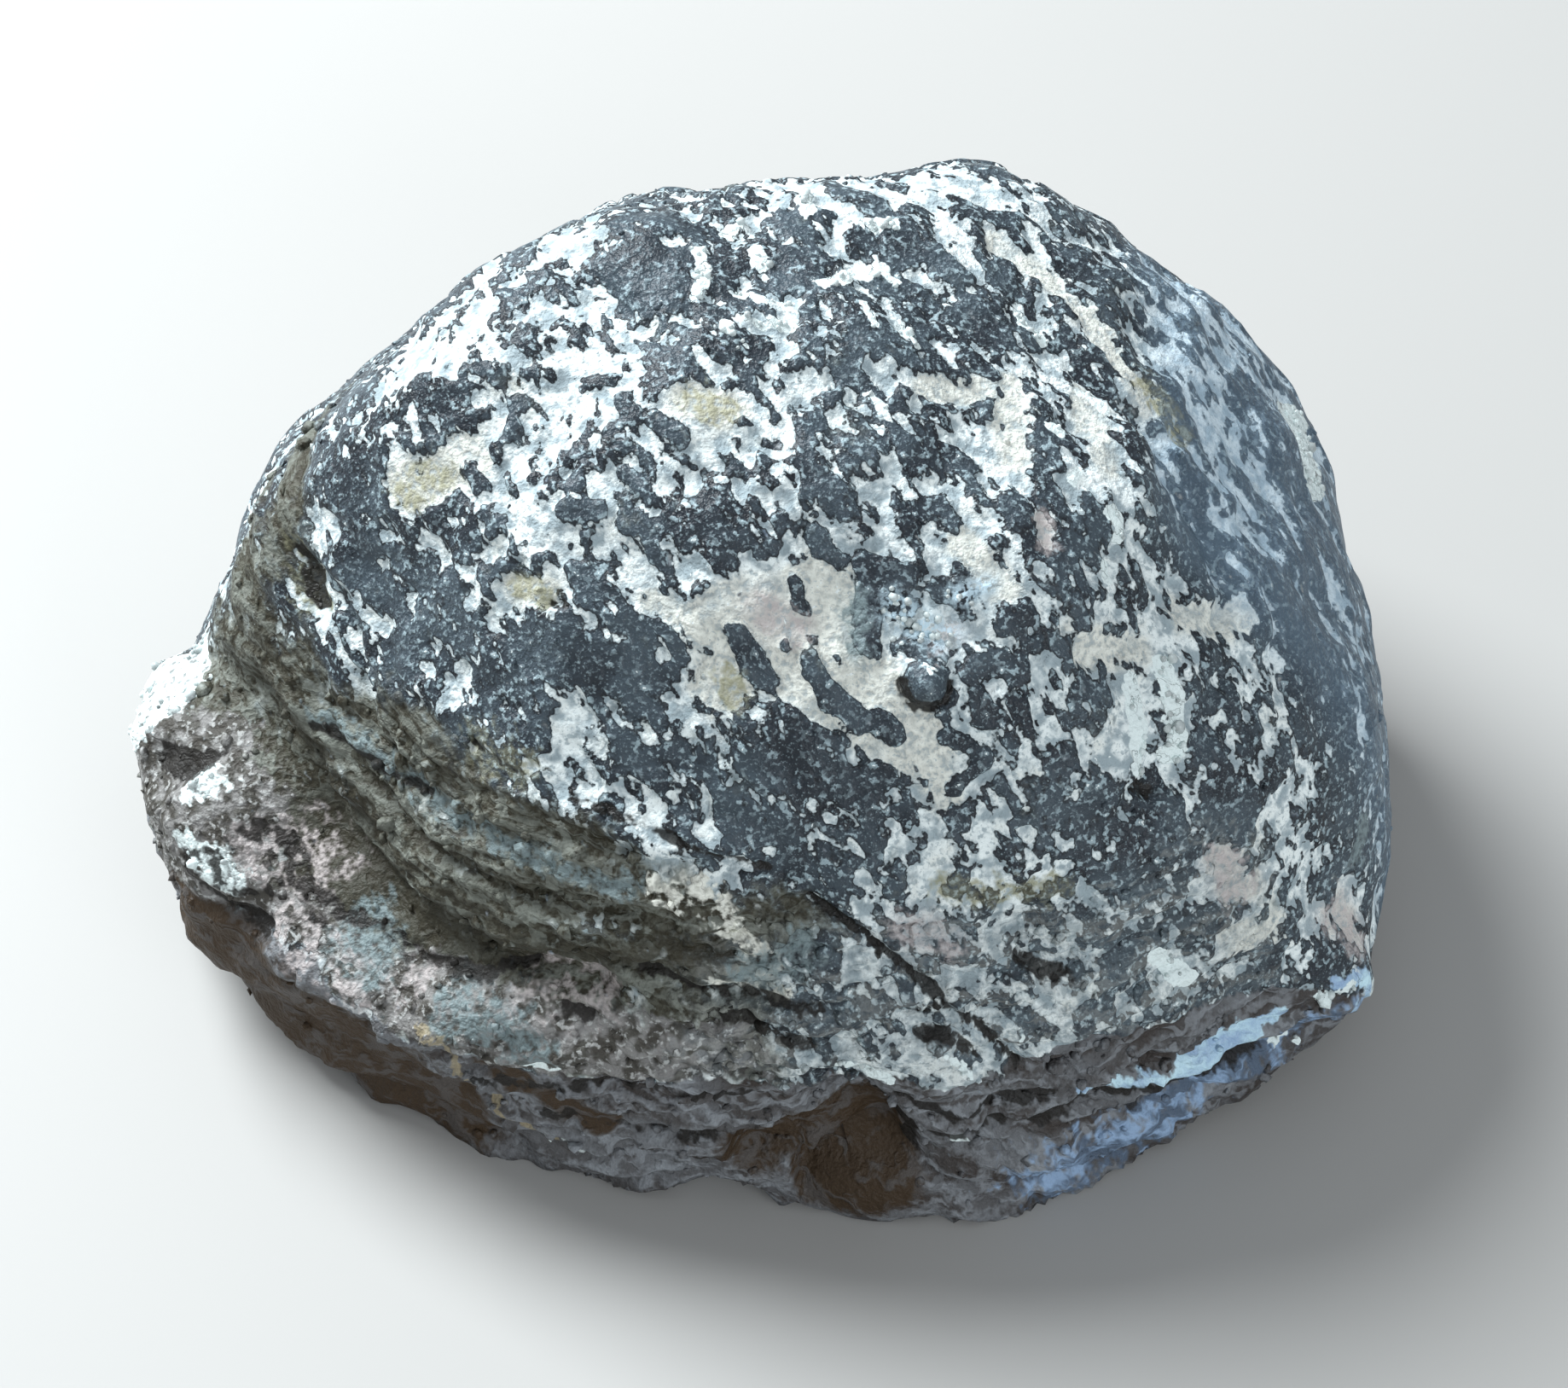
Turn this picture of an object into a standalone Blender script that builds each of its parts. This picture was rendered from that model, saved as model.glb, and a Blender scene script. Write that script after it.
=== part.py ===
"""Quartz geode: one whole weathered stone resting on its broken side."""

import bpy
import bmesh
import numpy as np

# Sizes are in millimetres and turned into metres at the end. X runs left to right,
# Y runs away from the front, Z up. The stone is drawn from one inner point, the heart:
# along every ray from the heart there is one reach, the distance to the surface.
# A direction is a bearing (degrees from +X towards +Y) and a pitch (degrees above level).
MM = 0.001
HEART = (1.5, -3.7, 24.0)

# The rounded weathered body before anything is worn or broken off it.
BODY_CENTRE = (0.0, 2.0, -16.0)
BODY_RADII = (55.0, 51.0, 57.0)

# Broad soft faces worn on the dome: bearing, pitch, reach.
WORN_FACES = (
    (337, 44, 37.0),
    (300, 82, 35.0),
    (266, 51, 32.7),
    (266, 24, 32.8),
    (230, 25, 33.6),
    (213, 8, 41.0),
    (238, 6, 38.2),
    (300, 24, 37.8),
    (320, 8, 46.0),
    (90, 25, 46.0),
    (130, 15, 49.0),
    (45, 15, 51.0),
)
WORN_SHARPNESS = 13.0

# Flatter stretches that give the dome its outline from above: bearing, pitch, reach.
SKIN_FACES = (
    (167, 23, 42.0),
    (151, 34, 39.5),
    (134, 42, 36.9),
    (101, 50, 35.6),
    (61, 48, 42.4),
    (45, 43, 42.8),
    (34, 38, 43.0),
    (4, 16, 45.6),
    (356, 8, 47.4),
)
SKIN_SHARPNESS = 30.0

# Broken side walls below the dome, in order round the stone: bearing, pitch, reach.
WALLS = (
    (187, 0, 51.4),
    (203, -3, 51.2),
    (224, -6, 47.5),
    (242, -9, 41.4),
    (259, -2, 37.4),
    (276, 0, 39.8),
    (298, -2, 43.2),
    (350, 0, 49.2),
    (5, 2, 48.0),
    (90, -14, 44.5),
    (50, -12, 47.5),
    (135, -12, 47.5),
)
WALL_SHARPNESS = 50.0

# Chamfers where the walls turn under to the resting face: bearing, pitch, reach.
CHAMFERS = (
    (200, -58, 42.0),
    (332, -60, 42.0),
    (90, -60, 43.0),
    (20, -56, 44.0),
    (150, -58, 44.0),
)
CHAMFER_SHARPNESS = 60.0

# The collar: the broken rock stands out past the weathered flank below this line.
COLLAR_LINE = (
    (176, -2),
    (186, 0),
    (192, 1),
    (200, -2),
    (207, -6),
    (222, -8),
    (244, -5),
    (262, -3),
    (280, -6),
)
COLLAR_BLUR = (-5.0, -2.5, 0.0, 2.5, 5.0)
COLLAR_START = (176.0, 184.0)
COLLAR_END = (246.0, 274.0)
COLLAR_LEDGE = (-4.0, 2.6)
COLLAR_WANDER = 1.6
BLOCK_REACH = 62.0

# Local swellings and hollows: bearing, pitch, half width in degrees, height.
SWELLS = (
    (58, 46, 6.0, 1.2),
    (98, 50, 9.0, -0.5),
    (293, 40, 3.4, 0.9),
    (291, 36, 2.4, -0.7),
    (332, -15, 5.5, 3.0),
    (10, 24, 4.0, 0.9),
    (193, -3, 3.0, -0.7),
    (206, -10, 4.0, -2.6),
    (199, -17, 3.5, 1.2),
    (247, -4, 4.5, -0.8),
    (318, 17, 3.0, -0.8),
    (301, 4, 3.5, -0.9),
    (15, 19, 4.0, -1.0),
    (352, 12, 4.0, -0.9),
    (345, 3, 4.0, 0.6),
    (225, -10, 5.0, 0.9),
    (120, 35, 10.0, 0.3),
    (277, -16, 4.6, -3.0),
    (281, -25, 4.4, -3.0),
    (271, -20, 3.0, -1.0),
    (70, 15, 11.0, 1.4),
    (110, 5, 10.0, -1.6),
    (150, 2, 9.0, 1.5),
    (35, 0, 10.0, -1.2),
    (95, -14, 8.0, 1.2),
)

# Grooves worn into the surface: depth, half width in degrees, then the directions passed through.
GROOVES = (
    (0.9, 2.2, ((33, 63), (8, 57), (357, 46), (348, 34), (341, 26), (332, 21), (322, 19), (316, 18))),
    (0.9, 2.0, ((158, 64), (170, 69), (193, 74))),
    (1.3, 2.2, ((188, 25), (196, 21))),
    (
        1.8,
        3.0,
        (
            (184, 3),
            (192, 4),
            (199, 2),
            (206, -2),
            (216, -4),
            (228, -5),
            (241, -2),
            (256, 0),
            (268, -2),
        ),
    ),
    (1.0, 1.8, ((290, -18), (300, -15), (313, -16), (325, -17))),
    (1.2, 3.0, ((40, 30), (70, 22), (100, 26), (130, 18), (160, 10))),
    (1.0, 2.4, ((20, -2), (50, 4), (85, -3), (120, 6), (150, -4))),
)

# Rounded lumps added and bites taken out: centre and radii.
LUMPS = (
    ((-46.1, -3.4, 17.5), (4.4, 4.4, 4.0)),
    ((9.7, -38.0, 2.0), (8.0, 4.5, 5.0)),
)
BITES = (
    ((-3.8, -44.0, 0.0), (5.6, 6.0, 4.2)),
)

# Underside: a shallow hollow in the broken face, and the level spots it rests on.
HOLLOW_CENTRE = (1.0, 1.0)
HOLLOW_RADII = (24.0, 17.0)
HOLLOW_DEPTH = 6.5
HOLLOW_SLOPE = (0.25, 1.0)
UNDERSIDE_LIFT = 0.3

# Terraces worn along the flank above the collar: where they start and stop (bearings, and
# degrees above the collar line), how fast they repeat, and how high they stand.
TERRACE_BEARINGS = (186.0, 196.0, 250.0, 275.0)
TERRACE_PITCHES = (3.0, 7.0, 26.0, 34.0)
TERRACE_TURN = 47.0
TERRACE_LEAN = 1.5
TERRACE_SWAY = 1.5
TERRACE_SECOND = 0.35
TERRACE_HEIGHT = 0.34
TERRACE_CHANGE = 0.3

# Layering on the broken walls, below the collar line.
LAYER_PITCHES = (-12.0, -3.0)
LAYER_SPACING = 4.4
LAYER_WANDER = 2.0
LAYER_HEIGHT = 0.45
LAYER_SECOND = 0.4
LAYER_SHARE = (0.55, 0.9)

# Random fields are read on a ball of this radius, so that they keep one scale all over.
FIELD_RADIUS = 44.0
GROOVE_SWAY = 0.03
GROOVE_RISE = (-0.1, 0.2)
GROOVE_FALL = (0.75, 1.05)

# Each field has a cell size in millimetres and a seed of its own.
SWAY_FIELDS = ((6.0, 21), (6.0, 22), (6.0, 23))
COLLAR_FIELD = (7.0, 11)
RIPPLE_FIELD = (13.0, 12)
TERRACE_FIELD = (10.0, 13)
LEVEL_FIELD = (12.0, 14)
LAYER_FIELD = (11.0, 15)
FLOOR_FIELDS = ((11.0, 31, 0.9), (5.0, 32, 0.5))
DISH_EDGE_FIELD = (9.0, 33, 0.12)
DISH_FIELD = (4.0, 34, 0.15)

# Steepness sums are scaled by this reach to keep their powers in range.
USUAL_REACH = 40.0
FAR = 1000.0
NEARLY_LEVEL = 0.001


def aim(bearing, pitch):
    """Unit vector of a direction given in degrees."""
    b = np.radians(bearing)
    p = np.radians(pitch)
    return np.array([np.cos(b) * np.cos(p), np.sin(b) * np.cos(p), np.sin(p)])


def step(x, low, high):
    """Smooth step from 0 at low to 1 at high."""
    t = np.clip((x - low) / (high - low), 0.0, 1.0)
    return t * t * (3.0 - 2.0 * t)


def through_ellipsoid(rays, centre, radii, first):
    """Distance along each ray to an ellipsoid: the first crossing or the last."""
    radii = np.array(radii, float)
    start = (np.array(HEART) - np.array(centre, float)) / radii
    ray = rays / radii
    a = (ray * ray).sum(-1)
    b = ray @ start
    c = start @ start - 1.0
    inside = b * b - a * c
    root = np.sqrt(np.maximum(inside, 0.0))
    if first:
        return np.where((inside > 0.0) & (b < 0.0), (-b - root) / a, FAR)
    return np.where(inside > 0.0, (-b + root) / a, 0.0)


def trim(reach, rays, faces, sharpness):
    """Cut the body with flat faces; a high sharpness leaves crisp edges between them."""
    total = (reach / USUAL_REACH) ** -sharpness
    for bearing, pitch, distance in faces:
        facing = np.clip(rays @ aim(bearing, pitch), 0.0, None)
        total = total + (facing * USUAL_REACH / distance) ** sharpness
    return USUAL_REACH * total ** (-1.0 / sharpness)


def along_path(rays, path):
    """Degrees between each ray and a line of directions, and how far along it from 0 to 1."""
    nearest = np.full(rays.shape[:-1], 10.0)
    station = np.zeros(rays.shape[:-1])
    ends = [aim(bearing, pitch) for bearing, pitch in path]
    for number, (start, end) in enumerate(zip(ends, ends[1:])):
        along = end - start
        t = np.clip((rays - start) @ along / (along @ along), 0.0, 1.0)
        gap = rays - start - t[..., None] * along
        gap = np.sqrt((gap * gap).sum(-1))
        station = np.where(gap < nearest, (number + t) / (len(ends) - 1), station)
        nearest = np.minimum(nearest, gap)
    return np.degrees(nearest), station


def turned(seed):
    """A turn of the axes that differs from seed to seed, about a slanting line."""
    x, y, z = 0.48, 0.6, 0.64
    c = np.cos(1.1 * seed + 0.7)
    s = np.sin(1.1 * seed + 0.7)
    cross = np.array([[0.0, -z, y], [z, 0.0, -x], [-y, x, 0.0]])
    return np.eye(3) + s * cross + (1.0 - c) * cross @ cross


def scatter(points, cell, seed):
    """Smooth random field from -1 to 1: random values at lattice corners, blended between."""
    place = points @ turned(seed) / cell + 31.7 * seed
    corner = np.floor(place).astype(np.int64)
    part = place - corner
    part = part * part * part * (part * (part * 6.0 - 15.0) + 10.0)
    total = np.zeros(points.shape[:-1])
    for dx in (0, 1):
        for dy in (0, 1):
            for dz in (0, 1):
                key = (corner[..., 0] + dx) * 374761393 + (corner[..., 1] + dy) * 668265263
                key = key + (corner[..., 2] + dz) * 2147483629 + seed * 1274126177
                key = (key ^ (key >> 13)) * 1103515245 & 0x7FFFFFFF
                key = (key ^ (key >> 15)) * 1664525 & 0x7FFFFFFF
                value = key / 0x7FFFFFFF * 2.0 - 1.0
                wx = part[..., 0] if dx else 1.0 - part[..., 0]
                wy = part[..., 1] if dy else 1.0 - part[..., 1]
                wz = part[..., 2] if dz else 1.0 - part[..., 2]
                total += wx * wy * wz * value
    return total


def stone(rays):
    """Reach of the stone along each ray from the heart, before the fine grain."""
    bearing = np.degrees(np.arctan2(rays[..., 1], rays[..., 0])) % 360.0
    pitch = np.degrees(np.arcsin(np.clip(rays[..., 2], -1.0, 1.0)))
    spot = rays * FIELD_RADIUS
    bent = rays + GROOVE_SWAY * np.stack([scatter(spot, *field) for field in SWAY_FIELDS], -1)
    dome = through_ellipsoid(rays, np.array(HEART) + BODY_CENTRE, BODY_RADII, False)
    dome = trim(dome, rays, WORN_FACES, WORN_SHARPNESS)
    dome = trim(dome, rays, SKIN_FACES, SKIN_SHARPNESS)
    dome = trim(dome, rays, WALLS, WALL_SHARPNESS)
    block = trim(np.full(dome.shape, BLOCK_REACH), rays, WALLS, WALL_SHARPNESS)
    # The collar and the worn terraces above it.
    knots = np.array(COLLAR_LINE, float).T
    line = sum(np.interp(bearing + turn, *knots) for turn in COLLAR_BLUR) / len(COLLAR_BLUR)
    above = pitch - line - COLLAR_WANDER * scatter(spot, *COLLAR_FIELD)
    shown = step(bearing, *COLLAR_START) * (1.0 - step(bearing, *COLLAR_END))
    reach = dome + (block - dome) * shown * (1.0 - step(above, *COLLAR_LEDGE))
    flank = step(bearing, *TERRACE_BEARINGS[:2]) * (1.0 - step(bearing, *TERRACE_BEARINGS[2:]))
    flank = flank * step(above, *TERRACE_PITCHES[:2]) * (1.0 - step(above, *TERRACE_PITCHES[2:]))
    ripple = np.radians(above * TERRACE_TURN + bearing * TERRACE_LEAN)
    ripple = ripple + TERRACE_SWAY * scatter(spot, *RIPPLE_FIELD)
    rise = np.sin(ripple) + TERRACE_SECOND * np.sin(2.0 * ripple + 1.0)
    reach = reach + flank * rise * (TERRACE_HEIGHT + TERRACE_CHANGE * scatter(spot, *TERRACE_FIELD))
    # Broken walls show the layering of the rock.
    broken = 1.0 - step(above, *LAYER_PITCHES)
    broken = broken * (LAYER_SHARE[0] + LAYER_SHARE[1] * scatter(spot, *LAYER_FIELD))
    level = HEART[2] + spot[..., 2] + LAYER_WANDER * scatter(spot, *LEVEL_FIELD)
    layer = 2.0 * np.pi * level / LAYER_SPACING
    reach = reach + broken * LAYER_HEIGHT * (np.sin(layer) + LAYER_SECOND * np.sin(2.0 * layer + 0.7))
    for direction, pitch_up, width, height in SWELLS:
        apart = np.degrees(np.sqrt(((bent - aim(direction, pitch_up)) ** 2).sum(-1)))
        reach = reach + height * np.exp(-(apart / width) ** 2)
    for depth, width, path in GROOVES:
        apart, station = along_path(bent, path)
        worn = step(station, *GROOVE_RISE) - step(station, *GROOVE_FALL)
        reach = reach - depth * worn * np.exp(-(apart / width) ** 2)
    return reach


def underside(floor):
    """Height of the broken underside above the table, exactly zero on the resting spots."""
    flat = floor * (1.0, 1.0, 0.0)
    rough = UNDERSIDE_LIFT + sum(height * scatter(flat, cell, seed) for cell, seed, height in FLOOR_FIELDS)
    out = (floor[..., :2] - HOLLOW_CENTRE) / HOLLOW_RADII
    cell, seed, amount = DISH_EDGE_FIELD
    out = np.sqrt((out * out).sum(-1)) + amount * scatter(flat, cell, seed)
    dish = HOLLOW_DEPTH * (1.0 - step(out, *HOLLOW_SLOPE))
    cell, seed, amount = DISH_FIELD
    return np.maximum(rough, 0.0) + dish * (1.0 + amount * scatter(flat, cell, seed))


def surface(rays, grain):
    """Points of the stone in millimetres; grain lists cell size and height of the roughness."""
    reach = stone(rays)
    spot = rays * FIELD_RADIUS
    for number, (cell, height) in enumerate(grain):
        reach = reach + height * scatter(spot, cell, number + 1)
    reach = trim(reach, rays, CHAMFERS, CHAMFER_SHARPNESS)
    for centre, radii in LUMPS:
        reach = np.maximum(reach, through_ellipsoid(rays, centre, radii, False))
    for centre, radii in BITES:
        reach = np.minimum(reach, through_ellipsoid(rays, centre, radii, True))
    down = np.clip(-rays[..., 2], NEARLY_LEVEL, None)
    floor = rays * (HEART[2] / down)[..., None] + HEART
    reach = np.minimum(reach, (HEART[2] - underside(floor)) / down)
    return np.array(HEART) + reach[..., None] * rays


# Roughness that can be seen from a step away: cell size and height.
GRAIN = ((27.0, 1.0), (16.0, 0.9), (8.0, 0.6), (4.2, 0.32))
START_SUBDIVISIONS = 7
KEPT_TRIANGLES = 9400
FLAT_TOLERANCE = 0.05

SKIN_COLOUR = (0.11, 0.12, 0.13, 1.0)
SKIN_ROUGHNESS = 0.75


def clear_scene():
    """Start from an empty scene."""
    for thing in list(bpy.data.objects):
        bpy.data.objects.remove(thing, do_unlink=True)


def stone_mesh():
    """Closed mesh of the stone, in metres, thinned where the surface is nearly flat."""
    ball = bmesh.new()
    bmesh.ops.create_icosphere(ball, subdivisions=START_SUBDIVISIONS, radius=1.0)
    mesh = bpy.data.meshes.new("geode_full")
    ball.to_mesh(mesh)
    ball.free()
    count = len(mesh.vertices)
    flat = np.empty(count * 3)
    mesh.vertices.foreach_get("co", flat)
    rays = flat.reshape(count, 3)
    rays = rays / np.linalg.norm(rays, axis=1)[:, None]
    points = surface(rays, GRAIN) * MM
    mesh.vertices.foreach_set("co", points.ravel())
    mesh.update()

    full = bpy.data.objects.new("geode_full", mesh)
    bpy.context.scene.collection.objects.link(full)
    thin = full.modifiers.new("thin", "DECIMATE")
    thin.ratio = KEPT_TRIANGLES / len(mesh.polygons)
    bpy.context.view_layer.update()
    graph = bpy.context.evaluated_depsgraph_get()
    kept = bpy.data.meshes.new_from_object(full.evaluated_get(graph))
    bpy.data.objects.remove(full, do_unlink=True)
    bpy.data.meshes.remove(mesh)

    # Thinning moves points a little: the resting face goes back to exactly level.
    for vertex in kept.vertices:
        if vertex.co.z < FLAT_TOLERANCE * MM:
            vertex.co.z = 0.0
    kept.update()
    return kept


def stone_material():
    """Plain dark stone."""
    material = bpy.data.materials.new("weathered_stone")
    material.use_nodes = True
    shader = material.node_tree.nodes["Principled BSDF"]
    shader.inputs["Base Color"].default_value = SKIN_COLOUR
    shader.inputs["Roughness"].default_value = SKIN_ROUGHNESS
    material.diffuse_color = SKIN_COLOUR
    return material


def main():
    clear_scene()
    mesh = stone_mesh()
    mesh.name = "geode"
    mesh.materials.clear()
    mesh.materials.append(stone_material())
    geode = bpy.data.objects.new("geode", mesh)
    bpy.context.scene.collection.objects.link(geode)


main()
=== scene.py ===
"""Quartz geode, dressed: a whole weathered stone that rests on its broken side."""

import math

import bpy
import numpy as np
from bpy.props import FloatProperty, FloatVectorProperty, IntProperty, PointerProperty
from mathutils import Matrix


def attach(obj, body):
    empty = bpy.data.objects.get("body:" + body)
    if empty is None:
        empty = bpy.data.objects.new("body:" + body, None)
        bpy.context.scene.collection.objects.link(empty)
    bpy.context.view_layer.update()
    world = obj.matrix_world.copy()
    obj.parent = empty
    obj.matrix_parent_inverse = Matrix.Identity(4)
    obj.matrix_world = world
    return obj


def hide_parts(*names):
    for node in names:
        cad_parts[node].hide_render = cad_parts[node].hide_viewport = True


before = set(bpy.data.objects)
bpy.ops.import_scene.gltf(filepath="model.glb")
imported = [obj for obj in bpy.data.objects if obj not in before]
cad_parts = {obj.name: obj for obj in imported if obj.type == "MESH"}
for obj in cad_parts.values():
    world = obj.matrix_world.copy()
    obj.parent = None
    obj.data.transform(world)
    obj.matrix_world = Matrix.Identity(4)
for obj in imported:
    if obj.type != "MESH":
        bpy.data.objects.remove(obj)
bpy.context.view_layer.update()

bl_info = {
    "name": "Quartz geode",
    "version": (1, 0, 0),
    "blender": (4, 5, 0),
    "location": "3D View > Sidebar > Geode",
    "description": "Builds the weathered quartz geode around its packed solid",
    "category": "Object",
}

# Sizes are in millimetres and turned into metres at the end. X runs left to right,
# Y runs away from the front, Z up. The stone is drawn from one inner point, the heart:
# along every ray from the heart there is one reach, the distance to the surface.
# A direction is a bearing (degrees from +X towards +Y) and a pitch (degrees above level).
MM = 0.001
HEART = (1.5, -3.7, 24.0)

# The rounded weathered body before anything is worn or broken off it.
BODY_CENTRE = (0.0, 2.0, -16.0)
BODY_RADII = (55.0, 51.0, 57.0)

# Broad soft faces worn on the dome: bearing, pitch, reach.
WORN_FACES = (
    (337, 44, 37), (300, 82, 35), (266, 51, 32.7), (266, 24, 32.8), (230, 25, 33.6), (213, 8, 41),
    (238, 6, 38.2), (300, 24, 37.8), (320, 8, 46), (90, 25, 46), (130, 15, 49), (45, 15, 51),
)
WORN_SHARPNESS = 13.0

# Flatter stretches that give the dome its outline from above: bearing, pitch, reach.
SKIN_FACES = (
    (167, 23, 42), (151, 34, 39.5), (134, 42, 36.9), (101, 50, 35.6), (61, 48, 42.4),
    (45, 43, 42.8), (34, 38, 43), (4, 16, 45.6), (356, 8, 47.4),
)
SKIN_SHARPNESS = 30.0

# Broken side walls below the dome, in order round the stone: bearing, pitch, reach.
WALLS = (
    (187, 0, 51.4), (203, -3, 51.2), (224, -6, 47.5), (242, -9, 41.4), (259, -2, 37.4),
    (276, 0, 39.8), (298, -2, 43.2), (350, 0, 49.2), (5, 2, 48), (90, -14, 44.5), (50, -12, 47.5),
    (135, -12, 47.5),
)
WALL_SHARPNESS = 50.0

# Chamfers where the walls turn under to the resting face: bearing, pitch, reach.
CHAMFERS = (
    (200, -58, 42), (332, -60, 42), (90, -60, 43), (20, -56, 44), (150, -58, 44),
)
CHAMFER_SHARPNESS = 60.0

# The collar: the broken rock stands out past the weathered flank below this line.
COLLAR_LINE = (
    (176, -2), (186, 0), (192, 1), (200, -2), (207, -6), (222, -8), (244, -5), (262, -3),
    (280, -6),
)
COLLAR_BLUR = (-5.0, -2.5, 0.0, 2.5, 5.0)
COLLAR_BEARINGS = (176.0, 184.0, 246.0, 274.0)
COLLAR_LEDGE = (-4.0, 2.6)
COLLAR_WANDER = 1.6
BLOCK_REACH = 62.0

# Local swellings and hollows: bearing, pitch, half width in degrees, height.
SWELLS = (
    (58, 46, 6, 1.2), (98, 50, 9, -0.5), (293, 40, 3.4, 0.9), (291, 36, 2.4, -0.7),
    (332, -15, 5.5, 3), (10, 24, 4, 0.9), (193, -3, 3, -0.7), (206, -10, 4, -2.6),
    (199, -17, 3.5, 1.2), (247, -4, 4.5, -0.8), (318, 17, 3, -0.8), (301, 4, 3.5, -0.9),
    (15, 19, 4, -1), (352, 12, 4, -0.9), (345, 3, 4, 0.6), (225, -10, 5, 0.9), (120, 35, 10, 0.3),
    (277, -16, 4.6, -3), (281, -25, 4.4, -3), (271, -20, 3, -1), (70, 15, 11, 1.4),
    (110, 5, 10, -1.6), (150, 2, 9, 1.5), (35, 0, 10, -1.2), (95, -14, 8, 1.2),
)

# Grooves worn into the surface: depth, half width in degrees, then the directions passed
# through: bearing, pitch, bearing, pitch and so on.
GROOVES = (
    (0.9, 2.2, 33, 63, 8, 57, 357, 46, 348, 34, 341, 26, 332, 21, 322, 19, 316, 18),
    (0.9, 2, 158, 64, 170, 69, 193, 74), (1.3, 2.2, 188, 25, 196, 21),
    (1.8, 3, 184, 3, 192, 4, 199, 2, 206, -2, 216, -4, 228, -5, 241, -2, 256, 0, 268, -2),
    (1, 1.8, 290, -18, 300, -15, 313, -16, 325, -17),
    (1.2, 3, 40, 30, 70, 22, 100, 26, 130, 18, 160, 10),
    (1, 2.4, 20, -2, 50, 4, 85, -3, 120, 6, 150, -4),
)

# Rounded lumps added and bites taken out: centre and radii.
LUMPS = (
    ((-46.1, -3.4, 17.5), (4.4, 4.4, 4)), ((9.7, -38, 2), (8, 4.5, 5)),
)
BITES = (
    ((-3.8, -44, 0), (5.6, 6, 4.2)),
)

# Underside: a shallow hollow in the broken face, and the level spots it rests on.
HOLLOW_CENTRE = (1.0, 1.0)
HOLLOW_RADII = (24.0, 17.0)
HOLLOW_DEPTH = 6.5
HOLLOW_SLOPE = (0.25, 1.0)
UNDERSIDE_LIFT = 0.3

# Terraces worn along the flank above the collar: where they start and stop (bearings, and
# degrees above the collar line), how fast they repeat, and how high they stand.
TERRACE_BEARINGS = (186.0, 196.0, 250.0, 275.0)
TERRACE_PITCHES = (3.0, 7.0, 26.0, 34.0)
TERRACE_TURN = 47.0
TERRACE_LEAN = 1.5
TERRACE_SWAY = 1.5
TERRACE_SECOND = 0.35
TERRACE_HEIGHT = 0.34

# Layering on the broken walls, below the collar line.
LAYER_PITCHES = (-12.0, -3.0)
LAYER_SPACING = 4.4
LAYER_HEIGHT = 0.45
LAYER_SECOND = 0.4
LAYER_SHARE = 0.55

# Random fields are read on a ball of this radius, so that they keep one scale all over. Each has
# a cell size in millimetres and a seed of its own; where a third number stands, it is the height.
FIELD_RADIUS = 44.0
SWAY_FIELD = (6.0, 21)
COLLAR_FIELD = (7.0, 11)
RIPPLE_FIELD = (13.0, 12)
TERRACE_FIELDS = ((10.0, 13, 0.3),)
LEVEL_FIELDS = ((12.0, 14, 2.0),)
LAYER_FIELDS = ((11.0, 15, 0.9),)
FLOOR_FIELDS = ((11.0, 31, 0.9), (5.0, 32, 0.5))
DISH_EDGE_FIELDS = ((9.0, 33, 0.12),)
DISH_FIELDS = ((4.0, 34, 0.15),)

# How far the sway bends the grooves, and how these start and end along their length.
GROOVE_SWAY = 0.03
GROOVE_RISE = (-0.1, 0.2)
GROOVE_FALL = (0.75, 1.05)

# Roughness that can be seen from a step away: cell size and height.
GRAIN = ((27.0, 1.0), (16.0, 0.9), (8.0, 0.6), (4.2, 0.32))

# Steepness sums are scaled by this reach to keep their powers in range.
USUAL_REACH = 40.0
FAR = 1000.0
NEARLY_LEVEL = 0.001

# Millimetres on the skin for a degree seen from the heart of the stone, and how many half widths
# of a mark its soft share reaches out.
MM_A_DEGREE = 0.66
TOUCH_WIDTHS = 2.6

# Bearings where each region starts, is whole, fades and ends (the right side counts from
# behind), the pitches over which it fades, and how soft its edge is above its line.
FLANK_BEARINGS = (168.0, 186.0, 282.0, 296.0)
FOLD_BEARINGS = (250.0, 268.0, 318.0, 332.0)
RIGHT_BEARINGS = (150.0, 172.0, 205.0, 225.0)
CRUMBLY_BEARINGS = (176.0, 190.0, 258.0, 278.0)
FOLD_PITCHES = (4.0, 15.0)
RIGHT_PITCHES = (34.0, 52.0)
UNDER_PITCHES = (-52.0, -40.0)
RIM_EDGE = (-1.5, 1.5)
BROW_EDGE = (-5.0, 5.0)
COLLAR_EDGE = (-1.2, 1.6)

# The grain of the skin: the way its islands are drawn out, and how many times longer than wide,
# on the dome and on the steep right side.
SKIN_GRAIN = (0.52, -0.62, -0.587)
SKIN_STRETCH = 1.8
RIGHT_GRAIN = (0.35, -0.60, -0.72)
RIGHT_STRETCH = 3.6

# Layers of the bedding in millimetres, and where in a layer its ledge rises and falls.
THICK_LAYER = 4.1
THIN_LAYER = 1.5
LEDGE_PROFILE = (0.0, 0.72, 0.80, 1.0)

# Crumbs and crystals: a slanting way to lay them out by, a short step to measure the slope with,
# the least height, so that none reaches below the floor, and the range of their spins.
SLANT = (0.31, 0.27, 0.91)
SHORT_STEP = 0.009
FLOOR_GAP = 1.5
SPINS = (0.0, 6.3)

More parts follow.
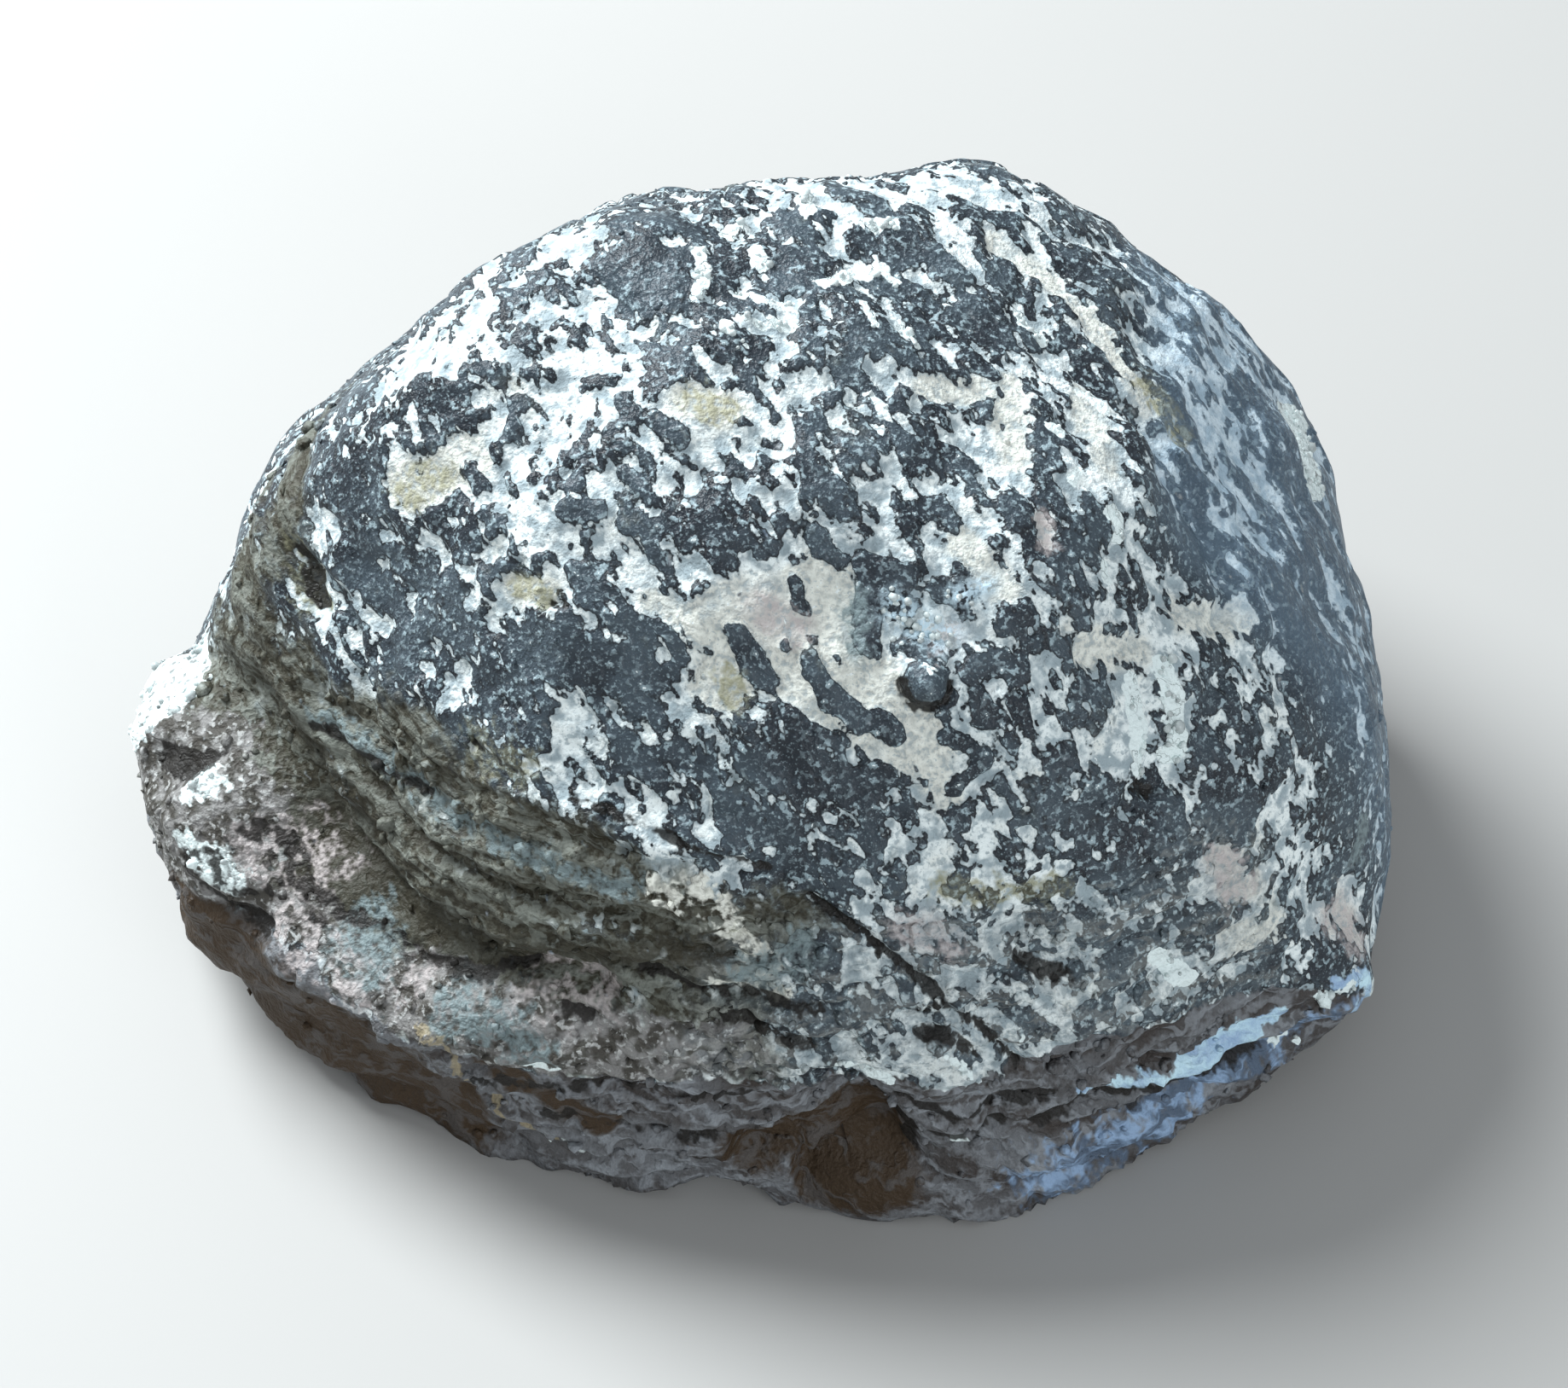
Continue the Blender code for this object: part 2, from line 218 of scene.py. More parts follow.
# Each has a seed, a spread of its size, the range of its sides against its size, and a lean off
# the surface; crumbs are flatter than wide, and their corners are dented.
CRUMB_SEED = 11
CRUMB_SPREAD = 0.35
CRUMB_SIDES = (0.6, 1.3)
CRUMB_SHAPE = (1.0, 1.0, 0.7)
CRUMB_LEAN = 0.3
CRUMB_DENTS = 0.07
CRYSTAL_SEED = 12
CRYSTAL_SPREAD = 0.3
CRYSTAL_SIDES = (0.6, 1.0)
CRYSTAL_LEAN = 0.55

# The side that is seen most, as a way out from the heart.
SEEN_MOST = (0.0, -0.75, 0.66)

# Polish of the skin, the crust, the layered rock, the quartz and the crystals, the weak sheen of
# dry stone, the clouds in a millimetre of crystal, and the height of the finest relief.
SKIN_ROUGHNESS = 0.45
CRUST_ROUGHNESS = 0.80
STRATA_ROUGHNESS = 0.6
QUARTZ_ROUGHNESS = 0.28
CRYSTAL_ROUGHNESS = 0.22
DULL_SPECULAR = 0.28
CLOUDS_A_MM = 1.2
BUMP_HEIGHT = 0.28

# The stage: floor, camera and its target in metres, and the lights: where they stand, how wide
# they are, their colour.
FLOOR_COLOUR = (0.44, 0.435, 0.42, 1.0)
FLOOR_ROUGHNESS = 0.6
FLOOR_HALF = 3.0
LENS = 86.55
SENSOR = 36.0
NEAREST = 0.01
CAMERA_DISTANCE = 0.30
CAMERA_PITCH = 47.0
CAMERA_TARGET = (0.0015, -0.0067, 0.022)
WINDOW_LIGHT = ((-0.40, 0.34, 0.55), 0.45, (0.92, 0.97, 1.0))
FILL_LIGHT = ((0.42, -0.62, 0.30), 0.5, (0.90, 0.95, 1.0))
SKY_COLOUR = (0.90, 0.95, 1.0, 1.0)

# Marks on the skin. Each is a half width in degrees, then the directions it runs through:
# bearing, pitch, bearing, pitch and so on.

# Dark islands of weathered skin standing in the pale crust.
ISLANDS = (
    (1.8, 261.6, 47.6, 266.5, 42.7), (0.8, 259.6, 48.4, 261.2, 48),
    (1.3, 274.5, 45.1, 277.2, 41.1), (1.9, 278.2, 39.9, 281.8, 36.7),
    (1.2, 277.7, 59.8, 283.5, 56.7), (1.9, 288.9, 55.2, 295.4, 52.8),
    (1.7, 288, 52.8, 285.2, 45.7), (1.6, 299.5, 39.3, 304.5, 39.3, 305.9, 37.3),
    (1.4, 299.3, 37.1, 299.8, 33.5), (1.7, 283.9, 36.6, 286.6, 34.9),
    (1.2, 293.4, 33.1, 297.1, 30.6, 297.8, 28.5, 293.3, 26.1), (0.9, 272.3, 54.4, 273.9, 51.7),
    (0.7, 269.7, 47.4, 270.1, 47), (0.5, 279.8, 44.9, 280.3, 44), (1.3, 200.6, 48.8, 203.7, 48.6),
    (0.8, 206.3, 52.1, 209.1, 51.5), (1, 218, 57.8, 219.4, 57.1), (1.4, 221.5, 54.1, 226.5, 56.2),
    (1, 226.7, 61.6, 236.1, 60.5), (1.4, 226.7, 68.7, 233.8, 69.1), (1.2, 213, 68.1, 218, 67.2),
    (1, 202.1, 66.2, 204.8, 68.2),
)

# Broad dark stretches with ragged edges.
BLOTCHES = (
    (2.6, 272.5, 35.5, 276, 30.4, 282.2, 25.6, 286, 24), (3.1, 267.6, 67.4, 281, 64),
    (2.9, 289.9, 63.7, 299.8, 58.9), (4.2, 308.9, 71.3, 312.6, 65.5),
    (2.9, 332.9, 67.2, 321.4, 62.2), (3.3, 241.3, 58.8, 262, 59), (3, 231.5, 47.7, 250.8, 47),
    (3.7, 228.7, 38.4, 246.4, 39.3), (2.2, 338.8, 55.9, 323.9, 51.7),
    (2.2, 318.3, 49.1, 327.1, 56.4), (2.6, 345.4, 37.4, 346.6, 30.9),
    (2.3, 334.6, 46.7, 326.7, 43.5), (2.8, 187.5, 50.7, 194.2, 52.8),
)

# Cream patches of bare crust, with hardly any skin left on them.
PATCHES = (
    (3.6, 256, 50, 264.9, 52.5, 275.7, 52, 283.4, 47.9),
    (4.3, 267, 46.4, 281.3, 38.2, 290.2, 31.5), (2.9, 196.1, 41.4, 199.2, 49.9),
    (2.3, 220.3, 43, 225.3, 44.1), (4.2, 278.8, 54.1, 266.2, 49.3, 259.2, 41),
    (3.6, 280.3, 46.2, 286.4, 39, 289.6, 33), (2.3, 291.1, 31.4, 291.9, 25),
    (1.7, 244.3, 49.7, 250.2, 48.6, 257.5, 45.8), (1.9, 33.9, 60.5, 23.1, 55.1, 9.8, 50.5),
    (1.7, 9.8, 50.5, 360, 43.7), (2.2, 228.8, 73.3, 243.4, 74.4), (2.3, 308.4, 53.2, 309.6, 46.9),
    (2.2, 348.8, 61.5, 332.4, 56.9), (2.3, 354.2, 52.5, 342.2, 48.8),
    (2.3, 334.1, 29.8, 340.5, 24), (2.2, 316.8, 35.8, 324.8, 31.3), (2.1, 321.9, 6.5, 322.6, 1.9),
    (1.6, 333.6, -9, 334.5, -11.8), (1.7, 320.3, -3.2, 325.7, -5.6),
    (1.4, 323.8, 50.3, 320.9, 47.9), (2.2, 333.9, 70, 344.4, 64.5),
)

# White-green crust on the lip above the front wall.
LIPS = (
    (1.9, 276.4, -4, 278.7, -7.7, 282.3, -9), (1.6, 285.2, -6.1, 287.8, -8.3, 290.1, -12),
    (1.2, 243, -12.3, 247.8, -12.7), (0.8, 252.7, -4.5, 253.9, -8.8),
    (1.1, 294.3, -9.8, 299.2, -8),
)

# Broad stretches where more crust shows through, and others that keep more of the skin.
THIN_SKIN = (
    (6.5, 235.5, 24.5, 243.2, 23.3, 251, 21.8), (6.2, 294.8, 79.8, 306.4, 75.7, 315.5, 69.3),
    (7.5, 186.1, 67.2, 223.1, 65, 237.5, 66.8), (7, 211.1, 49.4, 226.6, 51.7),
    (5, 202.4, 58.8, 209.5, 67), (4, 290.9, 15.6, 302.8, 12.1), (3.6, 292.8, 47.5, 304.4, 43.2),
    (4, 325.2, 28.6, 319.4, 20.6), (3, 53.7, 58.4, 47.6, 56.6), (3.4, 172.3, 45.2, 187.3, 48.5),
    (6, 330, 58, 345, 50), (5, 300, 30, 320, 24), (1.2, 157.9, 64.2, 172.2, 68.1, 185, 71.1),
    (9, 130, 40, 100, 30), (8, 50, 25, 20, 30), (8, 70, 55, 110, 62),
)
THICK_SKIN = (
    (7, 168, 34, 183, 28), (8.8, 298.1, 29.8, 306.5, 19.3, 312.5, 10.2),
    (8, 146.5, 76.3, 100.1, 79.2, 328.8, 79.1), (7, 36.4, 69.8, 7.9, 70.8),
    (7, 156, 73.6, 193.6, 74.7), (9, 186.8, 34.3, 195.7, 32.4, 212.6, 29.6),
    (8, 221.7, 37.5, 238.1, 39.5), (10, 347.7, 20.4, 339, 4.7), (5, 245.1, 59.1, 254.1, 67),
    (9, 230, 24.5, 267.7, 23.7), (6, 327.8, 13.3, 324.5, 9), (10, 80, 40, 60, 30),
    (10, 150, 20, 120, 10), (10, 20, 5, 60, 0),
)

# Bright bits of quartz and frosting, and one painted highlight on top of the slate bead.
GLINTS = (
    (1.5, 326.1, 28, 321.6, 19.2), (1.2, 320.9, 28.9, 316.3, 20.3), (0.8, 60.8, 73.4, 49.6, 70.3),
    (1, 41, 83.9, 40.1, 79.2, 37.5, 75.6), (0.6, 34.5, 75.4, 26.4, 74.8),
    (1.2, 112, 81.2, 110.5, 82.6), (0.7, 119, 76.4, 109.6, 76.2), (1, 82.4, 72.3, 80.2, 74.5),
    (0.8, 140.8, 77.9, 164.8, 80.5), (0.8, 158.5, 80.4, 174, 80.1),
    (0.6, 157.7, 84.5, 160.6, 88.5, 13.2, 87.8), (0.6, 201.8, 84.3, 294.4, 87.3),
    (0.7, 206, 82.4, 231.2, 82.4), (0.7, 7.9, 80.8, 350.1, 79.5), (0.5, 355.4, 75.2, 349.4, 73.9),
    # On the next line, the mark through bearing 292.3, pitch 42 is a painted highlight on the
    # bead.
    (0.6, 313, 75.1, 312, 71), (0.8, 342.3, 55.6, 342.2, 54.6), (0.5, 292.3, 42, 292.9, 41.3),
    (0.9, 334.6, 45, 332.3, 42.7), (0.7, 327.6, 41.7, 326.2, 40.1), (0.8, 336.2, 51, 334.6, 50.7),
    (1, 356.4, 52.9, 354.3, 50.1), (1, 13.6, 60.4, 7.9, 58.1), (1.8, 16.2, 17.6, 9.8, 18.2),
    (0.6, 276.3, -6.8, 278.8, -8.7, 281.5, -9.8), (0.5, 288.1, -6.7, 290.1, -9),
    (0.5, 241.1, -11.6, 244, -12.7), (0.5, 242.8, -25.2, 245.9, -25.3),
    (0.5, 335.3, -15.2, 333.5, -15.7), (0.4, 328.4, -13.9, 330.9, -13.8, 330.4, -14.1),
    (0.4, 324.9, -19.6, 325.7, -19.1, 327.7, -20.1), (1.1, 312.5, -1.8, 314.7, -5.4),
    (0.4, 295.6, -5.4, 295.9, -5.6), (0.4, 289.1, -19.9, 290.3, -19.6),
)

# Massive milky quartz: the lump, the streak below it, crumbs, and the spot on the right corner.
QUARTZ = (
    (3.6, 180.5, -2.6, 184.5, -3), (0.8, 194.6, -1.6, 197.2, -2),
    (0.9, 198.8, -5.3, 201.6, -6, 204.6, -7.6), (2.4, 16.4, 17.9, 11.9, 18, 8, 17.7),
)

# The blue-white chalcedony band in the broken wall.
CHALCEDONY = (
    (1.5, 314.5, -17.2, 318.3, -17, 321.5, -15.6), (0.8, 321.5, -15.6, 325, -14.6),
    (0.6, 303, -16.3, 306.9, -16.4, 314.5, -17.2),
    (0.6, 329.6, -13.1, 332.8, -13.9, 333.2, -15.9, 330.6, -16.3),
)

# Painted shade along the foot of the flank, where it meets the collar.
DUSK = (
    (5, 204, -3, 212.2, -5.5, 225.3, -4.2, 237.6, -1.2), (3, 237.6, -0.2, 253.4, 4.2, 263.9, 7.3),
    (3.5, 195, 8, 203, 3, 212, 2),
)

# The hollow in the front wall: half width, depth, directions.
ALCOVE_PATH = (267, -23.5, 272.5, -21.5, 280.5, -20.3, 281, -25, 275, -27.5)
ALCOVE = (3.6, 2.4, *ALCOVE_PATH)

# Thin dark cracks, and painted shadows along shadowed outlines: half width, depth, directions.
CRACKS_AND_SHADOWS = (
    (0.7, 0.9, 297.8, -18.5, 302.4, -17.6, 308, -17.4, 314.9, -19.2, 320.1, -17.9),
    (0.6, 0.6, 286.4, -19.4, 294.7, -18.4), (0.7, 0.6, 283.3, -13.1, 288.9, -16.2, 299.6, -15.8),
    (0.6, 0.9, 273.5, 12.5, 279.7, 8.5, 284.4, 4.2, 287.8, 0.6),
    (0.6, 0.4, 252.3, 2.1, 263, 0.7, 274.1, -0.6), (0.6, 0.4, 262.1, -1.3, 268.1, -3.2, 273, -5.3),
    (0.5, 0.7, 283.8, -1.7, 288.5, -0.9, 292.2, -4, 295.6, -9.1),
    (0.6, 0.6, 285.1, -4.2, 288.4, -3.7, 291, -7), (0.8, 0.9, 297.8, 2.3, 299.8, 0.1, 301.5, 0),
    (0.7, 0.8, 315.8, 18.5, 317, 16.7), (0.7, 0.9, 243.8, -5.7, 247.2, -5.9),
    # Painted shadow: the dark arc under the slate bead.
    (0.65, 0.5, 289, 40.6, 289.4, 38.2, 291.7, 36.7, 294.4, 37.3, 296.2, 38.9),
    (0.9, 1.2, 309.1, -20.6, 315.8, -19.8, 323.5, -19, 328, -17.2),
    # The first mark on the next line is a painted shadow on the right edge of the alcove.
    (0.7, 1, 280.5, -15.8, 284.3, -18.8, 285.2, -24), (0.4, 0.4, 227, 44, 230.3, 44.8),
    (1.3, 1.6, 190.5, -2.9, 193.6, -1.9), (0.7, 0.4, 200.6, 8.5, 207.2, 9.8, 219.1, 11.8),
    (0.45, 0.7, 201.5, -3.6, 206.5, -5.6, 213, -7.3, 224.6, -7.4, 233, -6, 238.5, -3.4),
    (0.5, 0.3, 224, 22.4, 243.6, 22.4, 256.3, 20.3, 267.7, 16.8), (0.9, 0.6, 188.1, 24, 193, 20.9),
    (0.4, 0.3, 201.1, -5.6, 205, -7.9, 209.1, -6.9),
    (0.6, 0.6, 199.8, -6.6, 203, -9.9, 208.9, -10.6),
    (0.6, 0.4, 234.8, -17, 248.4, -14.5, 263.3, -13.1, 278.5, -14.8),
    (0.4, 0.3, 242.2, -20.6, 254.1, -21.7, 264.1, -21.1),
)

# Where the stone takes on other colours, and where brown shade is painted.
OLIVE = (
    (4.5, 170, 30, 181, 27, 187, 20), (5.5, 172, 20, 182, 17, 190, 14),
    (8, 194.7, 9.8, 209.6, 2.3, 230.9, 3.1), (6, 240.6, 4.3, 253.2, 7.7),
)
TEAL = (
    (1.9, 201.3, 9.5, 207.5, 11.2, 221.5, 11.8, 236.7, 13.5, 250.6, 13.5),
    (2, 215.9, -7.6, 221.8, -8.6), (2.8, 232.1, -8.2, 239.1, -7.7, 243.1, -10.2),
    (3.4, 266, 3.5, 272.3, 7.1), (1.6, 340, -2.6, 338, -5.3), (2, 283, 45, 285, 52),
)
OCHRE = (
    (3.4, 225.3, 23.1, 231.9, 24.3), (2, 188.1, 24, 193, 20.9), (2.5, 259.3, 42.3, 262, 40),
    (2, 220.3, 43, 225.3, 44.1), (2.2, 196.1, 41.4, 198.2, 45.9), (2.2, 228.8, 73.3, 243.4, 74.4),
    (2.4, 290.9, 13.6, 302.8, 10.1), (2, 4, 45, 358, 39),
)
ROSE = (
    (3.4, 240.5, -4.2, 248, -3), (2.7, 241.3, -4.3, 246.6, -3.4), (2.7, 285, 9.2, 289.7, 7),
    (2.3, 202.4, -4.6, 205.9, -5.2, 209.8, -6), (2, 210.5, -8.3, 214.6, -9.3),
    (1.7, 218.2, -10.2, 222.1, -10.5), (1.7, 224.4, -7.8, 226.8, -8.2),
    (2.4, 321.9, 6.5, 322.6, 1.9), (2.4, 333.6, -9, 334.5, -11.8), (2.6, 266.2, 51.3, 272.2, 49),
    (1.6, 323.8, 50.3, 320.9, 47.9), (1.8, 295.6, 43.5, 299, 44.5),
)
CREAM_FOLDS = (
    (2.5, 259.3, 13.6, 263.7, 10, 268, 4.9), (1.6, 253.7, 13.6, 257.2, 12.1),
    (1.6, 270, 1, 262, 2.5),
)
# Painted shade, dark brown: the undercut below the overhang, the alcove, and a strip of the wall.
BROWN_SHADE = (
    (7.5, 200, -11.5, 203, -16, 209.6, -19.5, 219.3, -20.4, 227, -25),
    (4, *ALCOVE_PATH),
    (2, 236, -12.5, 242, -17.5, 249, -21),
)
SEAM = ((0.45, 229.6, -9.9, 232.2, -10.4, 233.4, -17.4, 237, -22.4, 242.7, -26),)
ICE = (
    (4.2, 299.2, -25.6, 306.4, -25, 313.4, -23.4), (2.4, 315.8, -21.2, 323.6, -19.9, 329.4, -16.7),
)

# Frosted clusters of small crystals, and the round bead of slate; the shadow under it is painted
# with the cracks.
FROST = (
    (1.9, 292, 49.3, 294.7, 46.5, 298.2, 44.5), (1.2, 302.5, 48.2, 307.4, 47.8),
)
BEAD = ((2.7, 292.4, 40.4, 292.4, 39.8),)

# The brow where the dome turns down to the worn flank, and the rim where the broken wall starts.
BROW_LINE = (
    (160, 0), (175, 6), (186, 13), (200, 18), (212, 20), (224, 21), (244, 21), (256, 19),
    (268, 15), (279, 8), (288, 2), (296, -4),
)
RIM_LINE = (
    (0, -18), (60, -15), (120, -17), (180, -14), (197, -12), (206, -9), (214, -10), (225, -11),
    (234, -13), (249, -14), (259, -12), (268, -11), (276, -10), (290, -10), (299, -8), (306, -7),
    (317, -9), (328, -13), (343, -19), (360, -18),
)

# Marks read as a soft share, and marks read as millimetres inside their edge.
SOFT_MARKS = {
    "teal": TEAL, "ochre": OCHRE, "rose": ROSE, "brown": BROWN_SHADE, "ice": ICE, "dusk": DUSK,
    "frost": FROST, "foldcream": CREAM_FOLDS,
}
EDGED = {"quartz": QUARTZ, "glint": GLINTS, "band": CHALCEDONY, "seam": SEAM}

# The fields that the material reads.
STORED_FIELDS = (
    "skin", "level", "wall", "flank", "folds", "right", "under", "cream", "foldcream", "teal",
    "ochre", "rose", "brown", "ice", "quartz", "glint", "band", "seam", "crack_and_shadow", "frost", "bed",
    "dusk", "collar",
)

# The colours that can be set: name, label and default.
COLOUR_DEFAULTS = (
    ("skin_dark", "Dark weathered skin", (0.021, 0.027, 0.035)),
    ("skin_light", "Lighter weathered skin", (0.060, 0.082, 0.100)),
    ("skin_fleck", "Flecks in the skin", (0.38, 0.49, 0.53)),
    # Painted shade: a dark outline just inside the edge of each patch of skin.
    ("skin_edge_shade", "Edge of a patch of skin", (0.012, 0.013, 0.016)),
    ("crust", "Pale crust", (0.86, 0.93, 0.92)),
    ("crust_thin", "Thin crust", (0.34, 0.415, 0.445)),
    ("cream", "Cream crust", (0.80, 0.81, 0.73)),
    ("cream_dark", "Cream crust in hollows", (0.56, 0.56, 0.50)),
    ("rose", "Pinkish stain", (0.50, 0.45, 0.44)),
    ("right_dark", "Right side, dark", (0.115, 0.175, 0.235)),
    ("right_light", "Right side, light", (0.38, 0.53, 0.66)),
    # Flank, fold and wall colours: the palest also paint a highlight on each ledge top, the
    # darkest a shade at each ledge foot.
    ("olive_dark", "Worn flank, dark", (0.034, 0.030, 0.018)),
    ("olive_light", "Worn flank, light", (0.086, 0.086, 0.066)),
    ("olive_pale", "Worn flank, palest", (0.23, 0.25, 0.22)),
    ("collar_dark", "Crumbly collar, dark", (0.060, 0.055, 0.048)),
    ("collar", "Crumbly collar", (0.25, 0.245, 0.24)),
    ("collar_pale", "Crumbly collar, palest", (0.55, 0.56, 0.55)),
    ("fold_dark", "Folded front, dark", (0.024, 0.026, 0.030)),
    ("fold_light", "Folded front, light", (0.21, 0.27, 0.30)),
    ("fold_pale", "Folded front, palest", (0.50, 0.51, 0.47)),
    ("wall_dark", "Broken wall, dark", (0.042, 0.034, 0.030)),
    ("wall_light", "Broken wall, light", (0.150, 0.158, 0.168)),
    ("wall_pale", "Broken wall, palest", (0.36, 0.39, 0.42)),
    ("teal", "Green-grey weathering", (0.20, 0.26, 0.27)),
    ("ochre", "Ochre stain", (0.30, 0.29, 0.17)),
    ("ice", "Light blue rock", (0.30, 0.44, 0.64)),
    ("ice_dark", "Light blue rock in hollows", (0.09, 0.13, 0.19)),
    # Painted shade of the undercut and the alcove.
    ("brown", "Brown undercut", (0.046, 0.028, 0.014)),
    ("milky", "Milky quartz", (0.55, 0.57, 0.56)),
    ("milky_grey", "Greyer quartz", (0.25, 0.27, 0.27)),
    ("seam", "Pale seam", (0.33, 0.28, 0.18)),
    ("band", "Chalcedony band", (0.62, 0.86, 0.95)),
    ("quartz", "Bright quartz", (0.80, 0.90, 0.89)),
    ("frost", "Frosted crystals", (0.62, 0.80, 0.90)),
    # Nearly black: the cracks, and the painted shadows along shadowed outlines.
    ("crack_and_shadow", "Cracks", (0.012, 0.010, 0.008)),
)


def aim(bearing, pitch):
    """Unit vector of a direction given in degrees."""
    b = np.radians(bearing)
    p = np.radians(pitch)
    return np.array([np.cos(b) * np.cos(p), np.sin(b) * np.cos(p), np.sin(p)])


def aims(path):
    """Unit vectors of a path given as bearing, pitch, bearing, pitch and so on."""
    return [aim(*direction) for direction in np.reshape(path, (-1, 2))]


def bearing_and_pitch(rays):
    """The two angles of each ray in degrees."""
    bearing = np.degrees(np.arctan2(rays[..., 1], rays[..., 0])) % 360.0
    return bearing, np.degrees(np.arcsin(np.clip(rays[..., 2], -1.0, 1.0)))


def unit(ways):
    """The same ways, each one long."""
    return ways / np.linalg.norm(ways, axis=1)[:, None]


def step(x, low, high):
    """Smooth step from 0 at low to 1 at high."""
    t = np.clip((x - low) / (high - low), 0.0, 1.0)
    return t * t * (3.0 - 2.0 * t)


def fall(x, low, high):
    """Smooth step from 1 at low to 0 at high."""
    return 1.0 - step(x, low, high)


def window(x, start, full, fade, end):
    """Smooth step up from start to full, times a smooth step down from fade to end."""
    return step(x, start, full) * fall(x, fade, end)


def line_at(bearing, line, **ends):
    """Pitch of a line at each bearing, straight between its points."""
    return np.interp(bearing, *np.array(line, float).T, **ends)


def through_ellipsoid(rays, centre, radii, first):
    """Distance along each ray to an ellipsoid, a root of the quadratic in the ray scaled by the
    radii: the first crossing, or FAR where there is none, or the last, or 0."""
    radii = np.array(radii, float)
    start = (np.array(HEART) - np.array(centre, float)) / radii
    ray = rays / radii
    a = (ray * ray).sum(-1)
    b = ray @ start
    inside = b * b - a * (start @ start - 1.0)
    root = np.sqrt(np.maximum(inside, 0.0))
    if first:
        return np.where((inside > 0.0) & (b < 0.0), (-b - root) / a, FAR)
    return np.where(inside > 0.0, (-b + root) / a, 0.0)


def trim(reach, rays, faces, sharpness):
    """Cut the body with flat faces. A face alone would be reached at its distance over the cosine
    to it. The new reach is the soft least of all these and the old reach: their power sum with
    the power -sharpness, which leaves crisp edges where it is high."""
    total = (reach / USUAL_REACH) ** -sharpness
    for bearing, pitch, distance in faces:
        facing = np.clip(rays @ aim(bearing, pitch), 0.0, None)
        total = total + (facing * USUAL_REACH / distance) ** sharpness
    return USUAL_REACH * total ** (-1.0 / sharpness)


def along_path(rays, path):
    """Degrees between each ray and a line of directions, and how far along it from 0 to 1."""
    nearest = np.full(rays.shape[:-1], 10.0)
    station = np.zeros(rays.shape[:-1])
    ends = aims(path)
    for number, (start, end) in enumerate(zip(ends, ends[1:])):
        along = end - start
        t = np.clip((rays - start) @ along / (along @ along), 0.0, 1.0)
        gap = rays - start - t[..., None] * along
        gap = np.sqrt((gap * gap).sum(-1))
        station = np.where(gap < nearest, (number + t) / (len(ends) - 1), station)
        nearest = np.minimum(nearest, gap)
    return np.degrees(nearest), station


def turned(seed):
    """A turn of the axes that differs from seed to seed, about a slanting line."""
    x, y, z = 0.48, 0.6, 0.64
    cross = np.array([[0.0, -z, y], [z, 0.0, -x], [-y, x, 0.0]])
    angle = 1.1 * seed + 0.7
    return np.eye(3) + np.sin(angle) * cross + (1.0 - np.cos(angle)) * cross @ cross


def scatter(points, cell, seed):
    """Smooth random field from -1 to 1: random values at lattice corners, blended between."""
    place_in_lattice = points @ turned(seed) / cell + 31.7 * seed
    corner = np.floor(place_in_lattice).astype(np.int64)
    part = place_in_lattice - corner
    part = part * part * part * (part * (part * 6.0 - 15.0) + 10.0)
    total = np.zeros(points.shape[:-1])
    for shift in np.ndindex(2, 2, 2):
        x, y, z = np.moveaxis(corner + shift, -1, 0)
        key = x * 374761393 + y * 668265263
        key = key + z * 2147483629 + seed * 1274126177
        key = (key ^ (key >> 13)) * 1103515245 & 0x7FFFFFFF
        key = (key ^ (key >> 15)) * 1664525 & 0x7FFFFFFF
        x, y, z = np.moveaxis(np.where(shift, part, 1.0 - part), -1, 0)
        total += x * y * z * (key / 0x7FFFFFFF * 2.0 - 1.0)
    return total


def sway(points, cell, seed):
    """Three random fields as one vector at each point, with three seeds in a row."""
    return np.stack([scatter(points, cell, seed + number) for number in range(3)], -1)


def rippled(value, points, waves):
    """The value with random fields added, each given by cell size, seed and height."""
    for cell, seed, height in waves:
        value = value + height * scatter(points, cell, seed)
    return value


